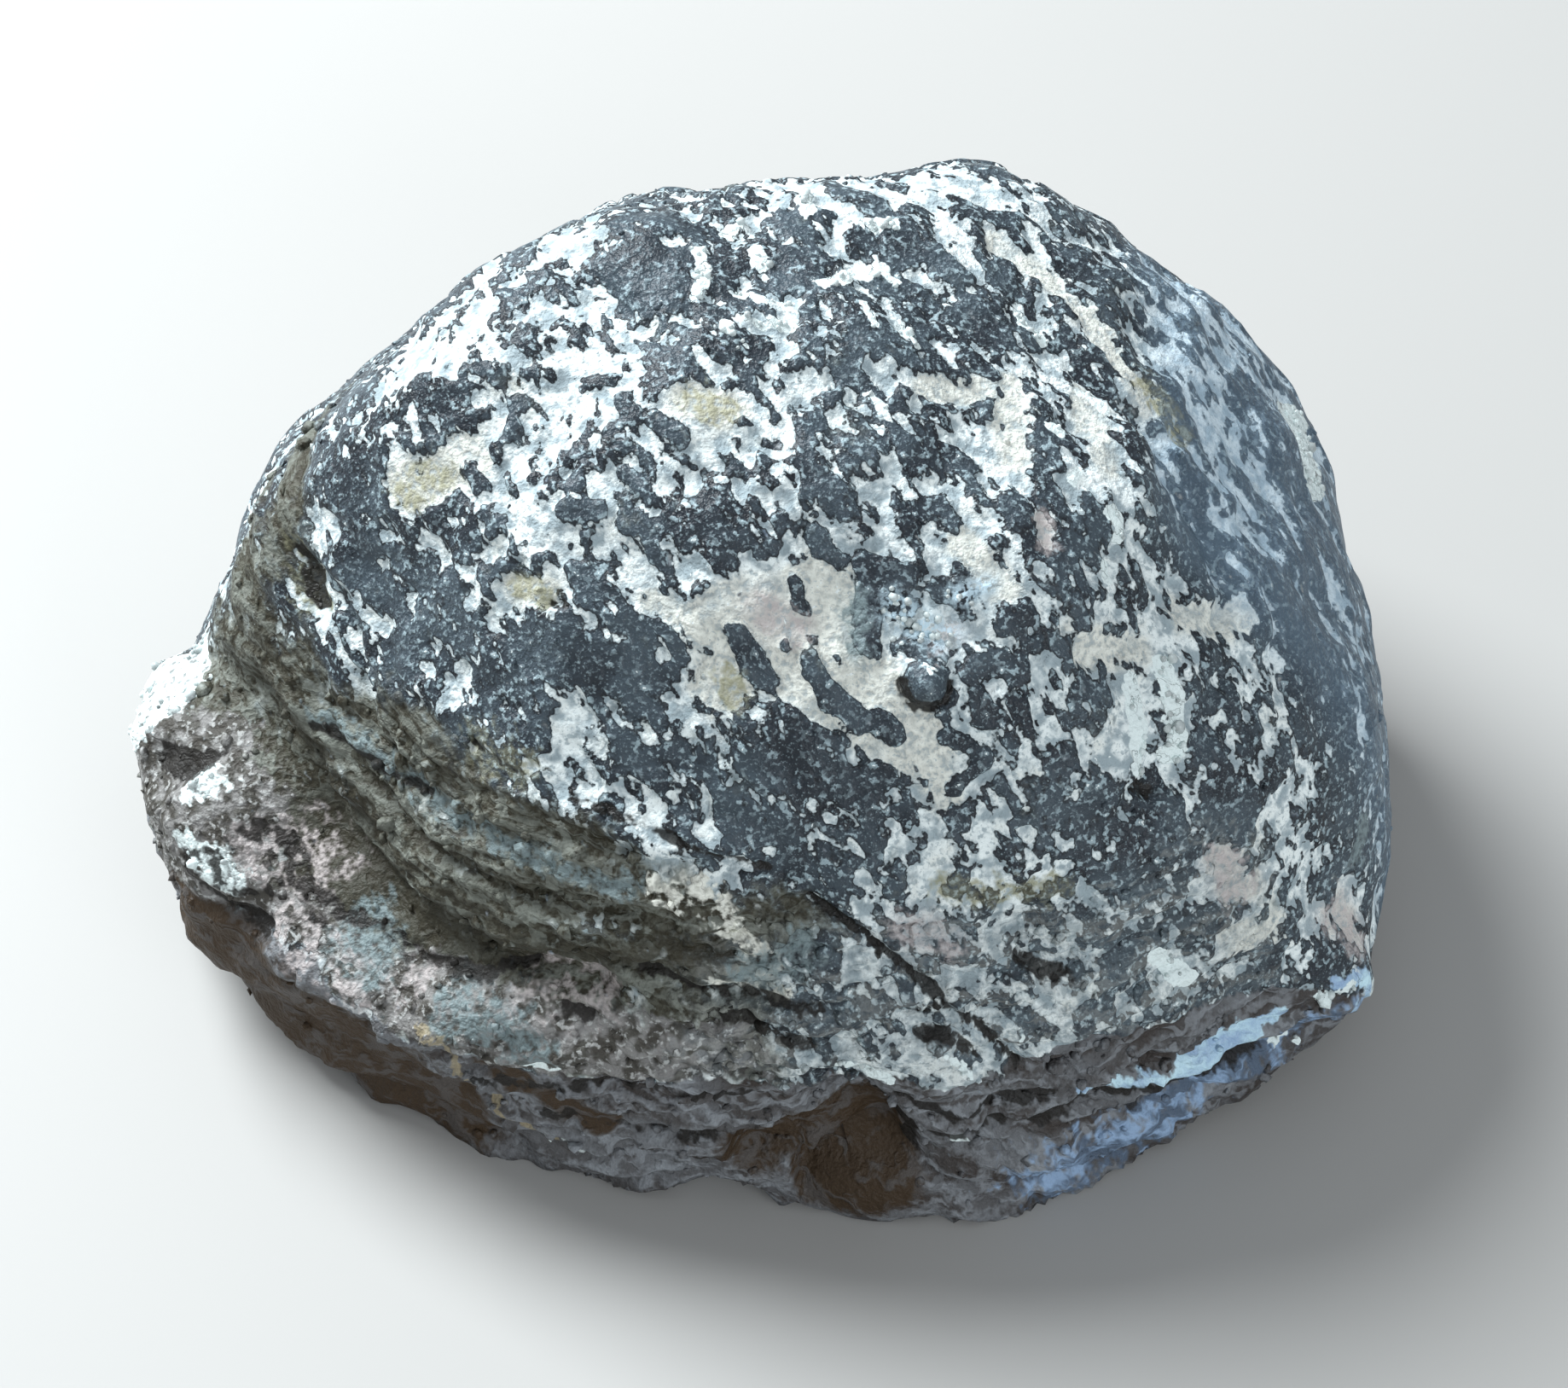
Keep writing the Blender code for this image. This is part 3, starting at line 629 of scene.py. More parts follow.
def stone(rays):
    """Reach of the stone along each ray from the heart, before the fine grain: the trimmed body,
    plus the collar, terraces and layers as sines, plus bell-shaped swellings less grooves."""
    bearing, pitch = bearing_and_pitch(rays)
    spot = rays * FIELD_RADIUS
    bent = rays + GROOVE_SWAY * sway(spot, *SWAY_FIELD)
    dome = through_ellipsoid(rays, np.array(HEART) + BODY_CENTRE, BODY_RADII, False)
    dome = trim(dome, rays, WORN_FACES, WORN_SHARPNESS)
    dome = trim(dome, rays, SKIN_FACES, SKIN_SHARPNESS)
    dome = trim(dome, rays, WALLS, WALL_SHARPNESS)
    block = trim(np.full(dome.shape, BLOCK_REACH), rays, WALLS, WALL_SHARPNESS)
    # The collar and the worn terraces above it.
    line = sum(line_at(bearing + turn, COLLAR_LINE) for turn in COLLAR_BLUR) / len(COLLAR_BLUR)
    above = pitch - line - COLLAR_WANDER * scatter(spot, *COLLAR_FIELD)
    reach = dome + (block - dome) * window(bearing, *COLLAR_BEARINGS) * fall(above, *COLLAR_LEDGE)
    flank = window(bearing, *TERRACE_BEARINGS) * window(above, *TERRACE_PITCHES)
    ripple = np.radians(above * TERRACE_TURN + bearing * TERRACE_LEAN)
    ripple = ripple + TERRACE_SWAY * scatter(spot, *RIPPLE_FIELD)
    rise = np.sin(ripple) + TERRACE_SECOND * np.sin(2.0 * ripple + 1.0)
    reach = reach + flank * rise * rippled(TERRACE_HEIGHT, spot, TERRACE_FIELDS)
    # Broken walls show the layering of the rock.
    broken = fall(above, *LAYER_PITCHES) * rippled(LAYER_SHARE, spot, LAYER_FIELDS)
    layer = 2.0 * np.pi * rippled(HEART[2] + spot[..., 2], spot, LEVEL_FIELDS) / LAYER_SPACING
    profile = np.sin(layer) + LAYER_SECOND * np.sin(2.0 * layer + 0.7)
    reach = reach + broken * LAYER_HEIGHT * profile
    for direction, pitch_up, width, height in SWELLS:
        apart = np.degrees(np.sqrt(((bent - aim(direction, pitch_up)) ** 2).sum(-1)))
        reach = reach + height * np.exp(-((apart / width) ** 2))
    for depth, width, *path in GROOVES:
        apart, station = along_path(bent, path)
        worn = step(station, *GROOVE_RISE) - step(station, *GROOVE_FALL)
        reach = reach - depth * worn * np.exp(-((apart / width) ** 2))
    return reach


def underside(floor):
    """Height of the broken underside above the floor: a lift with random waves, never below zero,
    so that it rests there, and a dish that fades out with the distance from its middle."""
    flat = floor * (1.0, 1.0, 0.0)
    rough = rippled(UNDERSIDE_LIFT, flat, FLOOR_FIELDS)
    out = (floor[..., :2] - HOLLOW_CENTRE) / HOLLOW_RADII
    out = rippled(np.sqrt((out * out).sum(-1)), flat, DISH_EDGE_FIELDS)
    dish = HOLLOW_DEPTH * fall(out, *HOLLOW_SLOPE)
    return np.maximum(rough, 0.0) + dish * rippled(1.0, flat, DISH_FIELDS)


def surface(rays, extra):
    """Points of the stone in millimetres: reach plus extra, the finer relief, plus grain, then
    trimmed, the larger with each lump, the smaller with each bite and with the underside."""
    spot = rays * FIELD_RADIUS
    waves = [(cell, number + 1, height) for number, (cell, height) in enumerate(GRAIN)]
    reach = rippled(stone(rays) + extra, spot, waves)
    reach = trim(reach, rays, CHAMFERS, CHAMFER_SHARPNESS)
    for centre, radii in LUMPS:
        reach = np.maximum(reach, through_ellipsoid(rays, centre, radii, False))
    for centre, radii in BITES:
        reach = np.minimum(reach, through_ellipsoid(rays, centre, radii, True))
    down = np.clip(-rays[..., 2], NEARLY_LEVEL, None)
    floor = rays * (HEART[2] / down)[..., None] + HEART
    reach = np.minimum(reach, (HEART[2] - underside(floor)) / down)
    return np.array(HEART) + reach[..., None] * rays


def near_line(rays, path, reach):
    """Numbers of the rays within reach degrees of a path, and their angles to it."""
    ends = aims(path)
    middle = sum(ends) / np.linalg.norm(sum(ends))
    spread = max(np.degrees(np.arccos(np.clip(end @ middle, -1.0, 1.0))) for end in ends)
    close = np.flatnonzero(rays @ middle > np.cos(np.radians(min(spread + reach, 179.0))))
    return close, along_path(rays[close], path)[0]


def marked(rays, marks, fade):
    """Degrees inside the nearest mark: its half width less the angle to its line.
    Further out than fade degrees the value stays at -fade."""
    inside = np.full(len(rays), -fade)
    for width, *path in marks:
        close, apart = near_line(rays, path, width + fade)
        inside[close] = np.maximum(inside[close], width - apart)
    return inside


def touched(rays, marks):
    """Soft share of each direction under the marks: the largest exp(-(angle / width) squared)."""
    share = np.zeros(len(rays))
    for width, *path in marks:
        close, apart = near_line(rays, path, TOUCH_WIDTHS * width)
        share[close] = np.maximum(share[close], np.exp(-((apart / width) ** 2)))
    return share


def stretched(points, way, times):
    """Points squeezed along one way, so that a field read there is drawn out along it."""
    way = np.array(way) / np.linalg.norm(way)
    return points - (points @ way)[:, None] * way * (1.0 - 1.0 / times)


def ledges(level, thick):
    """Stepped profile of layers: 0 to 1, up through each layer and quickly back at its top."""
    return window(level / thick - np.floor(level / thick), *LEDGE_PROFILE)


def skin_fields(rays):
    """What shows where: a dictionary of fields over the directions; their formulas stand below."""
    bearing, pitch = bearing_and_pitch(rays)
    spot = rays * FIELD_RADIUS
    wander = sway(spot, 3.0, 41)
    bent = unit(rays + (0.35 * wander + 0.25 * sway(spot, 9.0, 44)) / FIELD_RADIUS)
    near = unit(rays + 0.1 * wander / FIELD_RADIUS)

    # Strata height in millimetres: the height plus a slow wander. Bedding: a stepped profile
    # through thick layers and thin ones.
    level = rippled(HEART[2] + spot[:, 2], spot, ((14.0, 47, 1.6), (6.0, 48, 0.7)))
    thick = ledges(rippled(level, spot, ((4.0, 72, 0.9),)), THICK_LAYER)
    thin = ledges(rippled(level, spot, ((2.5, 73, 0.5),)), THIN_LAYER)
    fields = {"level": level, "bed": 0.65 * thick + 0.35 * thin}

    # Regions: a window of bearings times a smooth fall over the pitches. The wall lies under the
    # rim line, the flank under the brow line, the collar under the collar line.
    brow = line_at(bearing, BROW_LINE, left=90.0, right=90.0)
    wall = fall(pitch - rippled(line_at(bearing, RIM_LINE), spot, ((6.0, 49, 1.5),)), *RIM_EDGE)
    flank = fall(rippled(pitch - brow, spot, ((8.0, 50, 3.0),)), *BROW_EDGE)
    flank = window(bearing, *FLANK_BEARINGS) * flank * (1.0 - wall)
    folds = fall(rippled(pitch, spot, ((8.0, 51, 3.0),)), *FOLD_PITCHES)
    folds = window(bearing, *FOLD_BEARINGS) * folds * (1.0 - wall)
    right = window((bearing + 180.0) % 360.0, *RIGHT_BEARINGS) * fall(pitch, *RIGHT_PITCHES)
    right = right * (1.0 - wall)
    above = rippled(pitch - line_at(bearing, COLLAR_LINE), spot, ((5.0, 52, 1.2),))
    collar = window(bearing, *CRUMBLY_BEARINGS) * (1.0 - wall) * fall(above, *COLLAR_EDGE)
    flank = np.maximum(flank, touched(bent, OLIVE)) * (1.0 - folds * step(bearing, 262.0, 280.0))
    under = fall(pitch, *UNDER_PITCHES)
    fields.update(wall=wall, folds=folds, right=right, collar=collar, flank=flank, under=under)

    # Stains, and the painted shade of the brown undercut and of the flank's foot: the soft share
    # of
    # their marks. Edged things: millimetres inside their marks.
    for name, marks in SOFT_MARKS.items():
        fields[name] = touched(bent, marks)
    fields["brown"] = fields["brown"] * wall
    for name, marks in EDGED.items():
        fields[name] = marked(near, marks, 3.0) * MM_A_DEGREE

    # Skin over crust in millimetres: above zero the dark skin is left, below it the crust shows.
    # The grain is drawn out one way on the dome and another way on the right side.
    oval = stretched(spot + 0.8 * wander, SKIN_GRAIN, SKIN_STRETCH)
    blades = stretched(spot + 0.8 * wander, RIGHT_GRAIN, RIGHT_STRETCH)
    coarse = scatter(oval, 2.5, 61) * (1.0 - right) + scatter(blades, 2.0, 62) * right
    middle = scatter(oval, 1.2, 63) * (1.0 - right) + scatter(blades, 1.0, 64) * right
    skin = 0.03 + 0.38 * touched(bent, THICK_SKIN) - 0.30 * touched(bent, THIN_SKIN)
    skin = rippled(skin, spot, ((9.0, 65, 0.15),)) + 0.45 * touched(bent, BLOTCHES)
    skin = skin + 0.50 * coarse + 0.70 * middle + 0.35 * flank + 0.1 * right
    patch, lip, island = (
        marked(bent, marks, 6.0) * MM_A_DEGREE for marks in (PATCHES, LIPS, ISLANDS)
    )
    skin = np.minimum(skin, np.maximum(0.2 - np.maximum(patch, lip), -0.75) + 0.45 * middle)
    skin = np.where(island > -0.7, np.minimum(skin, -0.2 + 0.4 * middle), skin)
    skin = np.maximum(skin, np.minimum(island * 1.6 + 0.35 * middle, 0.8))
    bead = marked(near, BEAD, 3.0)
    skin = np.maximum(skin, np.minimum(bead, 0.8))
    fields["bead"] = step(bead, 0.0, BEAD[0][0])
    fields["skin"] = np.clip(skin, -1.5, 1.5)
    fields["cream"] = np.clip(step(patch, -0.8, 0.6) + 0.5 * fields["foldcream"], 0.0, 1.0)

    # Cracks and painted shadow lines: millimetres inside one, and how deep they and the alcove
    # cut.
    fields["crack_and_shadow"] = np.full(len(rays), -2.0)
    width, depth, *path = ALCOVE
    cut = depth * step(marked(near, ((width, *path),), 2.0), -0.5, 1.5)
    for width, depth, *path in CRACKS_AND_SHADOWS:
        inside = marked(near, ((width, *path),), 2.0)
        fields["crack_and_shadow"] = np.maximum(fields["crack_and_shadow"], inside * MM_A_DEGREE)
        cut = np.maximum(cut, depth * step(inside, -width, width))
    fields["cut"] = cut
    return fields


def relief(rays, fields):
    """Height added to the stone by its skin, strata, cracks and bright quartz, in millimetres:
    a sum of shares times steps, random waves and clipped edges."""
    spot = rays * FIELD_RADIUS
    wall, folds, flank, brown = (fields[name] for name in ("wall", "folds", "flank", "brown"))
    dome = (1.0 - wall) * (1.0 - 0.75 * flank) * (1.0 - 0.4 * folds)
    layers = np.clip(wall + 0.7 * folds + 0.6 * flank, 0.0, 1.0) * (1.0 - 0.85 * brown)
    broken = wall * (1.0 - 0.7 * brown)
    laid = np.stack([spot[:, 0] * 0.3, spot[:, 1] * 0.3, fields["level"]], -1)
    chinks = 1.0 - np.minimum(np.abs(scatter(spot, 4.5, 79)) * 4.0, 1.0)
    height = 0.40 * dome * step(fields["skin"], -0.2, 0.2) + 1.15 * layers * (fields["bed"] - 0.5)
    # Random roughness: the share of each direction, where the field is read, and its wave.
    for share, points, wave in (
        (dome, spot, (1.6, 71, 0.16)),
        (layers, laid, (1.6, 76, 0.3)),
        (layers, laid, (0.9, 77, 0.22)),
        (broken, spot, (3.6, 78, 0.5)),
        (wall + folds + flank, spot, (1.2, 74, 0.25)),
        (fields["collar"], spot, (2.8, 82, 0.5)),
        (fields["collar"], spot, (1.3, 83, 0.3)),
        (fields["under"], spot, (2.2, 75, 0.35)),
        (np.clip(fields["quartz"] + 0.3, 0.0, 1.0), spot, (1.4, 80, 0.3)),
        (fields["frost"], spot, (1.0, 81, 0.35)),
    ):
        height = height + share * rippled(0.0, points, (wave,))
    height = height - 0.7 * broken * chinks + 0.25 * np.clip(fields["glint"] + 0.2, 0.0, 0.5)
    height = height + 0.5 * np.clip(fields["band"], 0.0, 0.7) + np.sqrt(fields["bead"])
    return height - fields["cut"]


def ball_rays(side, pull, towards):
    """Directions and quads of a closed ball with no poles: the six faces of a cube, each a grid of
    side by side squares, blown out to a ball. The ball is then looked at from a point moved by
    pull, so that the grid is finer towards the side that is seen most."""
    steps = np.arange(side + 1)
    number = np.full((side + 1,) * 3, -1, np.int64)
    grid = np.stack(np.meshgrid(steps, steps, steps, indexing="ij"), -1)
    outer = ((grid == 0) | (grid == side)).any(-1)
    number[outer] = np.arange(outer.sum())
    rays = unit(np.tan((grid[outer] / side * 2.0 - 1.0) * np.pi / 4.0))
    rays = unit(rays + pull * np.array(towards) / np.linalg.norm(towards))
    quads = []
    for axis in range(3):
        for end in (0, side):
            face = np.take(number, end, axis)
            ring = [face[:-1, :-1], face[1:, :-1], face[1:, 1:], face[:-1, 1:]]
            if (end == 0) == (axis != 1):
                ring = ring[::-1]
            quads.append(np.stack(ring, -1).reshape(-1, 4))
    return rays, np.concatenate(quads)


def make_mesh(name, points, faces, smooth=True):
    """A mesh from points in millimetres and faces with the same number of corners."""
    mesh = bpy.data.meshes.new(name)
    mesh.vertices.add(len(points))
    mesh.vertices.foreach_set("co", (points * MM).astype(np.float32).ravel())
    mesh.loops.add(faces.size)
    mesh.loops.foreach_set("vertex_index", faces.astype(np.int32).ravel())
    mesh.polygons.add(len(faces))
    starts = np.arange(0, faces.size, faces.shape[1], dtype=np.int32)
    mesh.polygons.foreach_set("loop_start", starts)
    mesh.update(calc_edges=True)
    if smooth:
        mesh.shade_smooth()
    return mesh


def new_object(name, data):
    """A new object in the scene that shows the data."""
    made = bpy.data.objects.new(name, data)
    bpy.context.scene.collection.objects.link(made)
    return made


def place(name, mesh, material):
    """Puts a finished mesh in the scene as a piece of the stone."""
    mesh.materials.append(material)
    piece = new_object(name, mesh)
    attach(piece, "root")
    return piece


def keep_fields(mesh, fields, times=1):
    """Stores the fields for the material to read, each value for so many points in a row."""
    for name, values in fields.items():
        layer = mesh.attributes.new(name, "FLOAT", "POINT")
        layer.data.foreach_set("value", np.repeat(values, times).astype(np.float32))


def chosen_spots(tried, draws, chance):
    """Random spots on the finished stone, kept by a chance that depends on the fields: points,
    outward normals (the cross product of two short steps over the surface) and fields."""
    rays = unit(draws.normal(size=(tried, 3)))
    fields = skin_fields(rays)
    kept = draws.random(tried) < chance(fields)
    rays = rays[kept]
    side = unit(np.cross(rays, SLANT))
    spots = []
    for shift in (0.0, SHORT_STEP * side, SHORT_STEP * np.cross(side, rays)):
        beside = unit(rays + shift)
        spots.append(surface(beside, relief(beside, skin_fields(beside))))
    normals = unit(np.cross(spots[1] - spots[0], spots[2] - spots[0]))
    normals = normals * np.sign((normals * rays).sum(1))[:, None]
    clear = spots[0][:, 2] > FLOOR_GAP
    fields = {name: fields[name][kept][clear] for name in STORED_FIELDS}
    return spots[0][clear], normals[clear], fields


def bedded(shape, sizes, spots, ways, spins):
    """Copies of one small shape, one for each spot: scaled by its sizes along x, y and z, turned
    about z by its spin, z laid along its way, and moved to its spot."""
    pose = shape[None] * sizes[:, None, :]
    turn = np.stack([np.cos(spins), -np.sin(spins), np.sin(spins), np.cos(spins)], -1)
    flat = np.einsum("nij,nkj->nki", turn.reshape(-1, 2, 2), pose[..., :2])
    side = unit(np.cross(ways, SLANT))
    up = np.cross(ways, side)
    points = flat[..., :1] * side[:, None] + flat[..., 1:] * up[:, None]
    return points + pose[..., 2:] * ways[:, None] + spots[:, None]


def place_copies(name, points, faces, fields, material):
    """Places copies of one shape as one piece; each copy has one value of every field."""
    count, corners = points.shape[:2]
    faces = faces[None] + corners * np.arange(count)[:, None, None]
    mesh = make_mesh(name, points.reshape(-1, 3), faces.reshape(-1, faces.shape[-1]), False)
    keep_fields(mesh, fields, corners)
    place(name, mesh, material)


def crystal_shape():
    """A six-sided crystal one wide and one high: a foot ring, a shoulder ring and a point."""
    low = np.arange(6)
    after = (low + 1) % 6
    turns = np.radians(60.0 * low)
    ring = (0.5 * np.cos(turns), 0.5 * np.sin(turns))
    rings = [np.column_stack([*ring, np.full(6, height)]) for height in (-0.4, 0.3)]
    sides = [(low, after, after + 6), (low, after + 6, low + 6)]
    sides.append((low + 6, after + 6, np.full(6, 12)))
    faces = [np.stack(side, -1) for side in sides]
    foot = [(0, number + 1, number) for number in range(1, 5)]
    return np.concatenate([*rings, [(0.0, 0.0, 0.6)]]), np.concatenate([*faces, foot])


def crumb_shape():
    """A twenty-sided lump, half a unit from its middle to each of its twelve corners."""
    golden = (1.0 + math.sqrt(5.0)) / 2.0
    points = []
    for a in (-1.0, 1.0):
        for b in (-golden, golden):
            points += [(0.0, a, b), (a, b, 0.0), (b, 0.0, a)]
    points = np.array(points) / math.sqrt(1.0 + golden**2) * 0.5
    apart = np.linalg.norm(points[:, None] - points[None], axis=-1)
    near = np.triu((apart > 0.1) & (apart < 0.6))
    faces = np.argwhere(near[:, :, None] & near[None] & near[:, None])
    a, b, c = np.moveaxis(points[faces], 1, 0)
    inward = (np.cross(b - a, c - a) * a).sum(-1) < 0.0
    faces[inward] = faces[inward][:, [0, 2, 1]]
    return points, faces


class Wires:
    """Adds nodes to one tree. What is handed in is a number, a colour or a socket to link."""

    def __init__(self, tree):
        """Keeps the tree that the nodes go into."""
        self.tree = tree

    def feed(self, socket, value):
        """Links a socket to an input, or sets the input to a plain value."""
        if isinstance(value, bpy.types.NodeSocket):
            self.tree.links.new(value, socket)
        else:
            socket.default_value = value

    def node(self, kind, inputs=None, **settings):
        """A new node with its settings and inputs."""
        made = self.tree.nodes.new(kind)
        for name, value in settings.items():
            setattr(made, name, value)
        for key, value in (inputs or {}).items():
            self.feed(made.inputs[key], value)
        return made

    def math(self, operation, first, second, clamp=False):
        """One sum on two numbers."""
        inputs = {0: first, 1: second}
        return self.node("ShaderNodeMath", inputs, operation=operation, use_clamp=clamp).outputs[0]

    def vector(self, operation, inputs, output=0):
        """One sum on vectors."""
        return self.node("ShaderNodeVectorMath", inputs, operation=operation).outputs[output]

    def add(self, first, second):
        """First plus second."""
        return self.math("ADD", first, second)

    def times(self, first, second):
        """First times second."""
        return self.math("MULTIPLY", first, second)

    def rest(self, value):
        """One less the value."""
        return self.math("SUBTRACT", 1.0, value)

    def swing(self, value, amount):
        """A noise value turned into a push of up to amount either way."""
        return self.times(self.math("SUBTRACT", value, 0.5), 2.0 * amount)

    def rise(self, value, low, high):
        """Smooth step from 0 at low to 1 at high; low may be the larger one."""
        inputs = {"Value": value, "From Min": low, "From Max": high}
        node = self.node("ShaderNodeMapRange", inputs, interpolation_type="SMOOTHSTEP")
        return node.outputs["Result"]

    def blend(self, share, first, second):
        """Colour that goes from first to second as share goes from 0 to 1."""
        inputs = {0: share, 6: first, 7: second}
        return self.node("ShaderNodeMix", inputs, data_type="RGBA").outputs[2]

    def between(self, share, first, second):
        """Number that goes from first to second as share goes from 0 to 1."""
        inputs = {0: share, 2: first, 3: second}
        return self.node("ShaderNodeMix", inputs, data_type="FLOAT").outputs[0]

    def noise(self, spot, size, detail=2.0, rough=0.5):
        """Noise from 0 to 1 with features of the given size in the unit of the spot."""
        inputs = {"Vector": spot, "Scale": 1.0 / size, "Detail": detail, "Roughness": rough}
        return self.node("ShaderNodeTexNoise", inputs).outputs[0]

    def stored(self, name):
        """A field stored on the mesh."""
        return self.node("ShaderNodeAttribute", attribute_name=name).outputs["Fac"]

    def place(self):
        """Where a point lies in its object, in metres."""
        return self.node("ShaderNodeTexCoord").outputs["Object"]

    def group(self, tree, inputs):
        """A group node with its inputs."""
        return self.node("ShaderNodeGroup", inputs, node_tree=tree).outputs[0]


def new_group(name, vectors, numbers):
    """An empty shader group with one number put out: tree, wires, its inputs and its output."""
    tree = bpy.data.node_groups.new(name, "ShaderNodeTree")
    for kind, labels in (("NodeSocketVector", vectors), ("NodeSocketFloat", numbers)):
        for label in labels:
            tree.interface.new_socket(label, in_out="INPUT", socket_type=kind)
    tree.interface.new_socket("Value", in_out="OUTPUT", socket_type="NodeSocketFloat")
    wires = Wires(tree)
    given = wires.node("NodeGroupInput").outputs
    return tree, wires, given, wires.node("NodeGroupOutput").inputs[0]


def ragged_group():
    """A push that makes edges ragged: noise drawn out along the grain of the skin plus finer
    even noise, both swinging round zero."""
    tree, wires, given, end = new_group("ragged edge", ("Spot", "Drawn out"), ())
    coarse = wires.swing(wires.noise(given["Drawn out"], 0.85, 1.0), 1.15)
    fine = wires.swing(wires.noise(given["Spot"], 0.36, 1.0), 0.3)
    wires.feed(end, wires.add(coarse, fine))
    return tree


def streaks_group():
    """Streaks along the strata, 0 to 1: noise at (x / Length, y / Length, Level / Thickness)."""
    numbers = ("Level", "Thickness", "Length")
    tree, wires, given, end = new_group("strata streaks", ("Spot",), numbers)
    parts = wires.node("ShaderNodeSeparateXYZ", {"Vector": given["Spot"]}).outputs
    inputs = {axis: wires.math("DIVIDE", parts[axis], given["Length"]) for axis in "XY"}
    inputs["Z"] = wires.math("DIVIDE", given["Level"], given["Thickness"])
    laid = wires.node("ShaderNodeCombineXYZ", inputs).outputs[0]
    wires.feed(end, wires.rise(wires.noise(laid, 1.0, 2.0, 0.6), 0.3, 0.7))
    return tree


def new_material(name, **values):
    """A material with its wires and the inputs of its shader, some of them set."""
    material = bpy.data.materials.new(name)
    material.use_nodes = True
    inputs = material.node_tree.nodes["Principled BSDF"].inputs
    for key, value in values.items():
        inputs[key.replace("_", " ")].default_value = value
    return material, Wires(material.node_tree), inputs


def stone_material(colours):
    """Weathered stone: dark skin over pale crust on the dome, olive strata on the flank, streaked
    broken rock with chalcedony on the walls, milky quartz where it is bare."""
    material, wires, shader = new_material("weathered_stone", Specular_IOR_Level=DULL_SPECULAR)
    spot = wires.vector("SCALE", {0: wires.place(), "Scale": 1.0 / MM})
    along = wires.vector("DOT_PRODUCT", {0: spot, 1: SKIN_GRAIN}, "Value")
    squeeze = wires.times(along, 1.0 / SKIN_STRETCH - 1.0)
    shift = wires.vector("SCALE", {0: SKIN_GRAIN, "Scale": squeeze})
    drawn_out = wires.vector("ADD", {0: spot, 1: shift})
    push = wires.group(ragged_group(), {"Spot": spot, "Drawn out": drawn_out})

    def colour(name):
        """A colour from the settings by its name; a blended colour stays as it is."""
        return (*getattr(colours, name), 1.0) if isinstance(name, str) else name

    def tones(field, low, high, first, second):
        """Colour that goes from first where the field is low to second where it is high."""
        return wires.blend(wires.rise(field, low, high), colour(first), colour(second))

    def coat(base, mask, share, top):
        """The base with one colour over it, as far as mask times share."""
        return wires.blend(wires.times(mask, share), base, colour(top))

    def coats(base, *layers):
        """The base with coats over it in turn: field, its low and high, share, colour."""
        for field, low, high, share, top in layers:
            base = coat(base, wires.rise(field, low, high), share, top)
        return base

    def edged(name, ragged, low, high):
        """Mask of a stored field with a ragged edge."""
        return wires.rise(wires.add(wires.stored(name), wires.times(push, ragged)), low, high)

    broad = wires.noise(spot, 5.0, 2.0)
    mottle = wires.noise(spot, 1.5, 2.0)
    fleck = wires.noise(spot, 0.55, 2.0)
    dust = wires.noise(spot, 0.24, 1.0)
    level = wires.add(wires.stored("level"), wires.swing(mottle, 0.9))
    laid = {"Spot": spot, "Level": level}
    streaks = streaks_group()
    bands = wires.group(streaks, {**laid, "Thickness": 2.2, "Length": 9.0})
    streak = wires.group(streaks, {**laid, "Thickness": 0.8, "Length": 3.0})
    bed = wires.add(wires.stored("bed"), wires.swing(fleck, 0.5))

    # Dark skin over crust.
    skin_field = wires.add(wires.stored("skin"), wires.times(push, 0.85))
    skin = wires.rise(skin_field, -0.04, 0.05)
    worn = wires.between(wires.rise(skin_field, 0.3, 0.9), 1.0, 0.25)
    dark = coats(
        tones(broad, 0.35, 0.65, "skin_dark", "skin_light"),
        (mottle, 0.52, 0.66, wires.times(worn, 0.6), "skin_light"),
        (fleck, 0.545, 0.625, wires.times(worn, 0.85), "skin_fleck"),
        (dust, 0.58, 0.72, 0.35, "skin_fleck"),
        # Painted shade: the skin darkens to an outline just inside its edge.
        (skin_field, 0.32, 0.04, 0.8, "skin_edge_shade"),
    )
    cream = tones(fleck, 0.35, 0.65, "cream_dark", "cream")
    tint = wires.add(wires.swing(broad, 0.8), wires.swing(mottle, 0.8))
    pale = coats(
        tones(mottle, 0.36, 0.57, "crust_thin", "crust"),
        (fleck, 0.44, 0.32, 0.6, "crust_thin"),
        (wires.add(wires.stored("cream"), tint), 0.0, 1.1, 0.85, cream),
    )
    pale = coats(
        coat(pale, wires.stored("rose"), 0.55, "rose"),
        (fleck, 0.46, 0.35, 0.5, "crust_thin"),
        (dust, 0.42, 0.25, 0.6, "crust_thin"),
        # Painted shadow: the crust greys just outside each patch of skin.
        (skin_field, -0.22, -0.04, 0.6, "crust_thin"),
    )
    # The steep right side is bluer and thinly streaked.
    blue = tones(wires.add(wires.stored("skin"), push), 0.4, -0.3, "right_dark", "right_light")
    dome = coats(
        wires.blend(skin, pale, dark),
        (fleck, 0.715, 0.745, 0.9, "crust"),
        (wires.stored("right"), 0.2, 0.8, 0.55, blue),
    )

    # The worn flank: olive brown, mottled, with broad soft strata, painted highlights and shade on
    # its ledges, and painted shade along its foot.
    olive = coats(
        tones(fleck, 0.36, 0.64, "olive_dark", "olive_light"),
        # Painted highlight on each ledge top, painted shade at each ledge foot.
        (bed, 0.6, 1.0, 0.4, "olive_pale"),
        (bed, 0.3, 0.0, 0.8, "olive_dark"),
        (streak, 0.62, 0.9, 0.45, "olive_pale"),
        (skin_field, 0.05, -0.04, 0.5, "olive_pale"),
    )
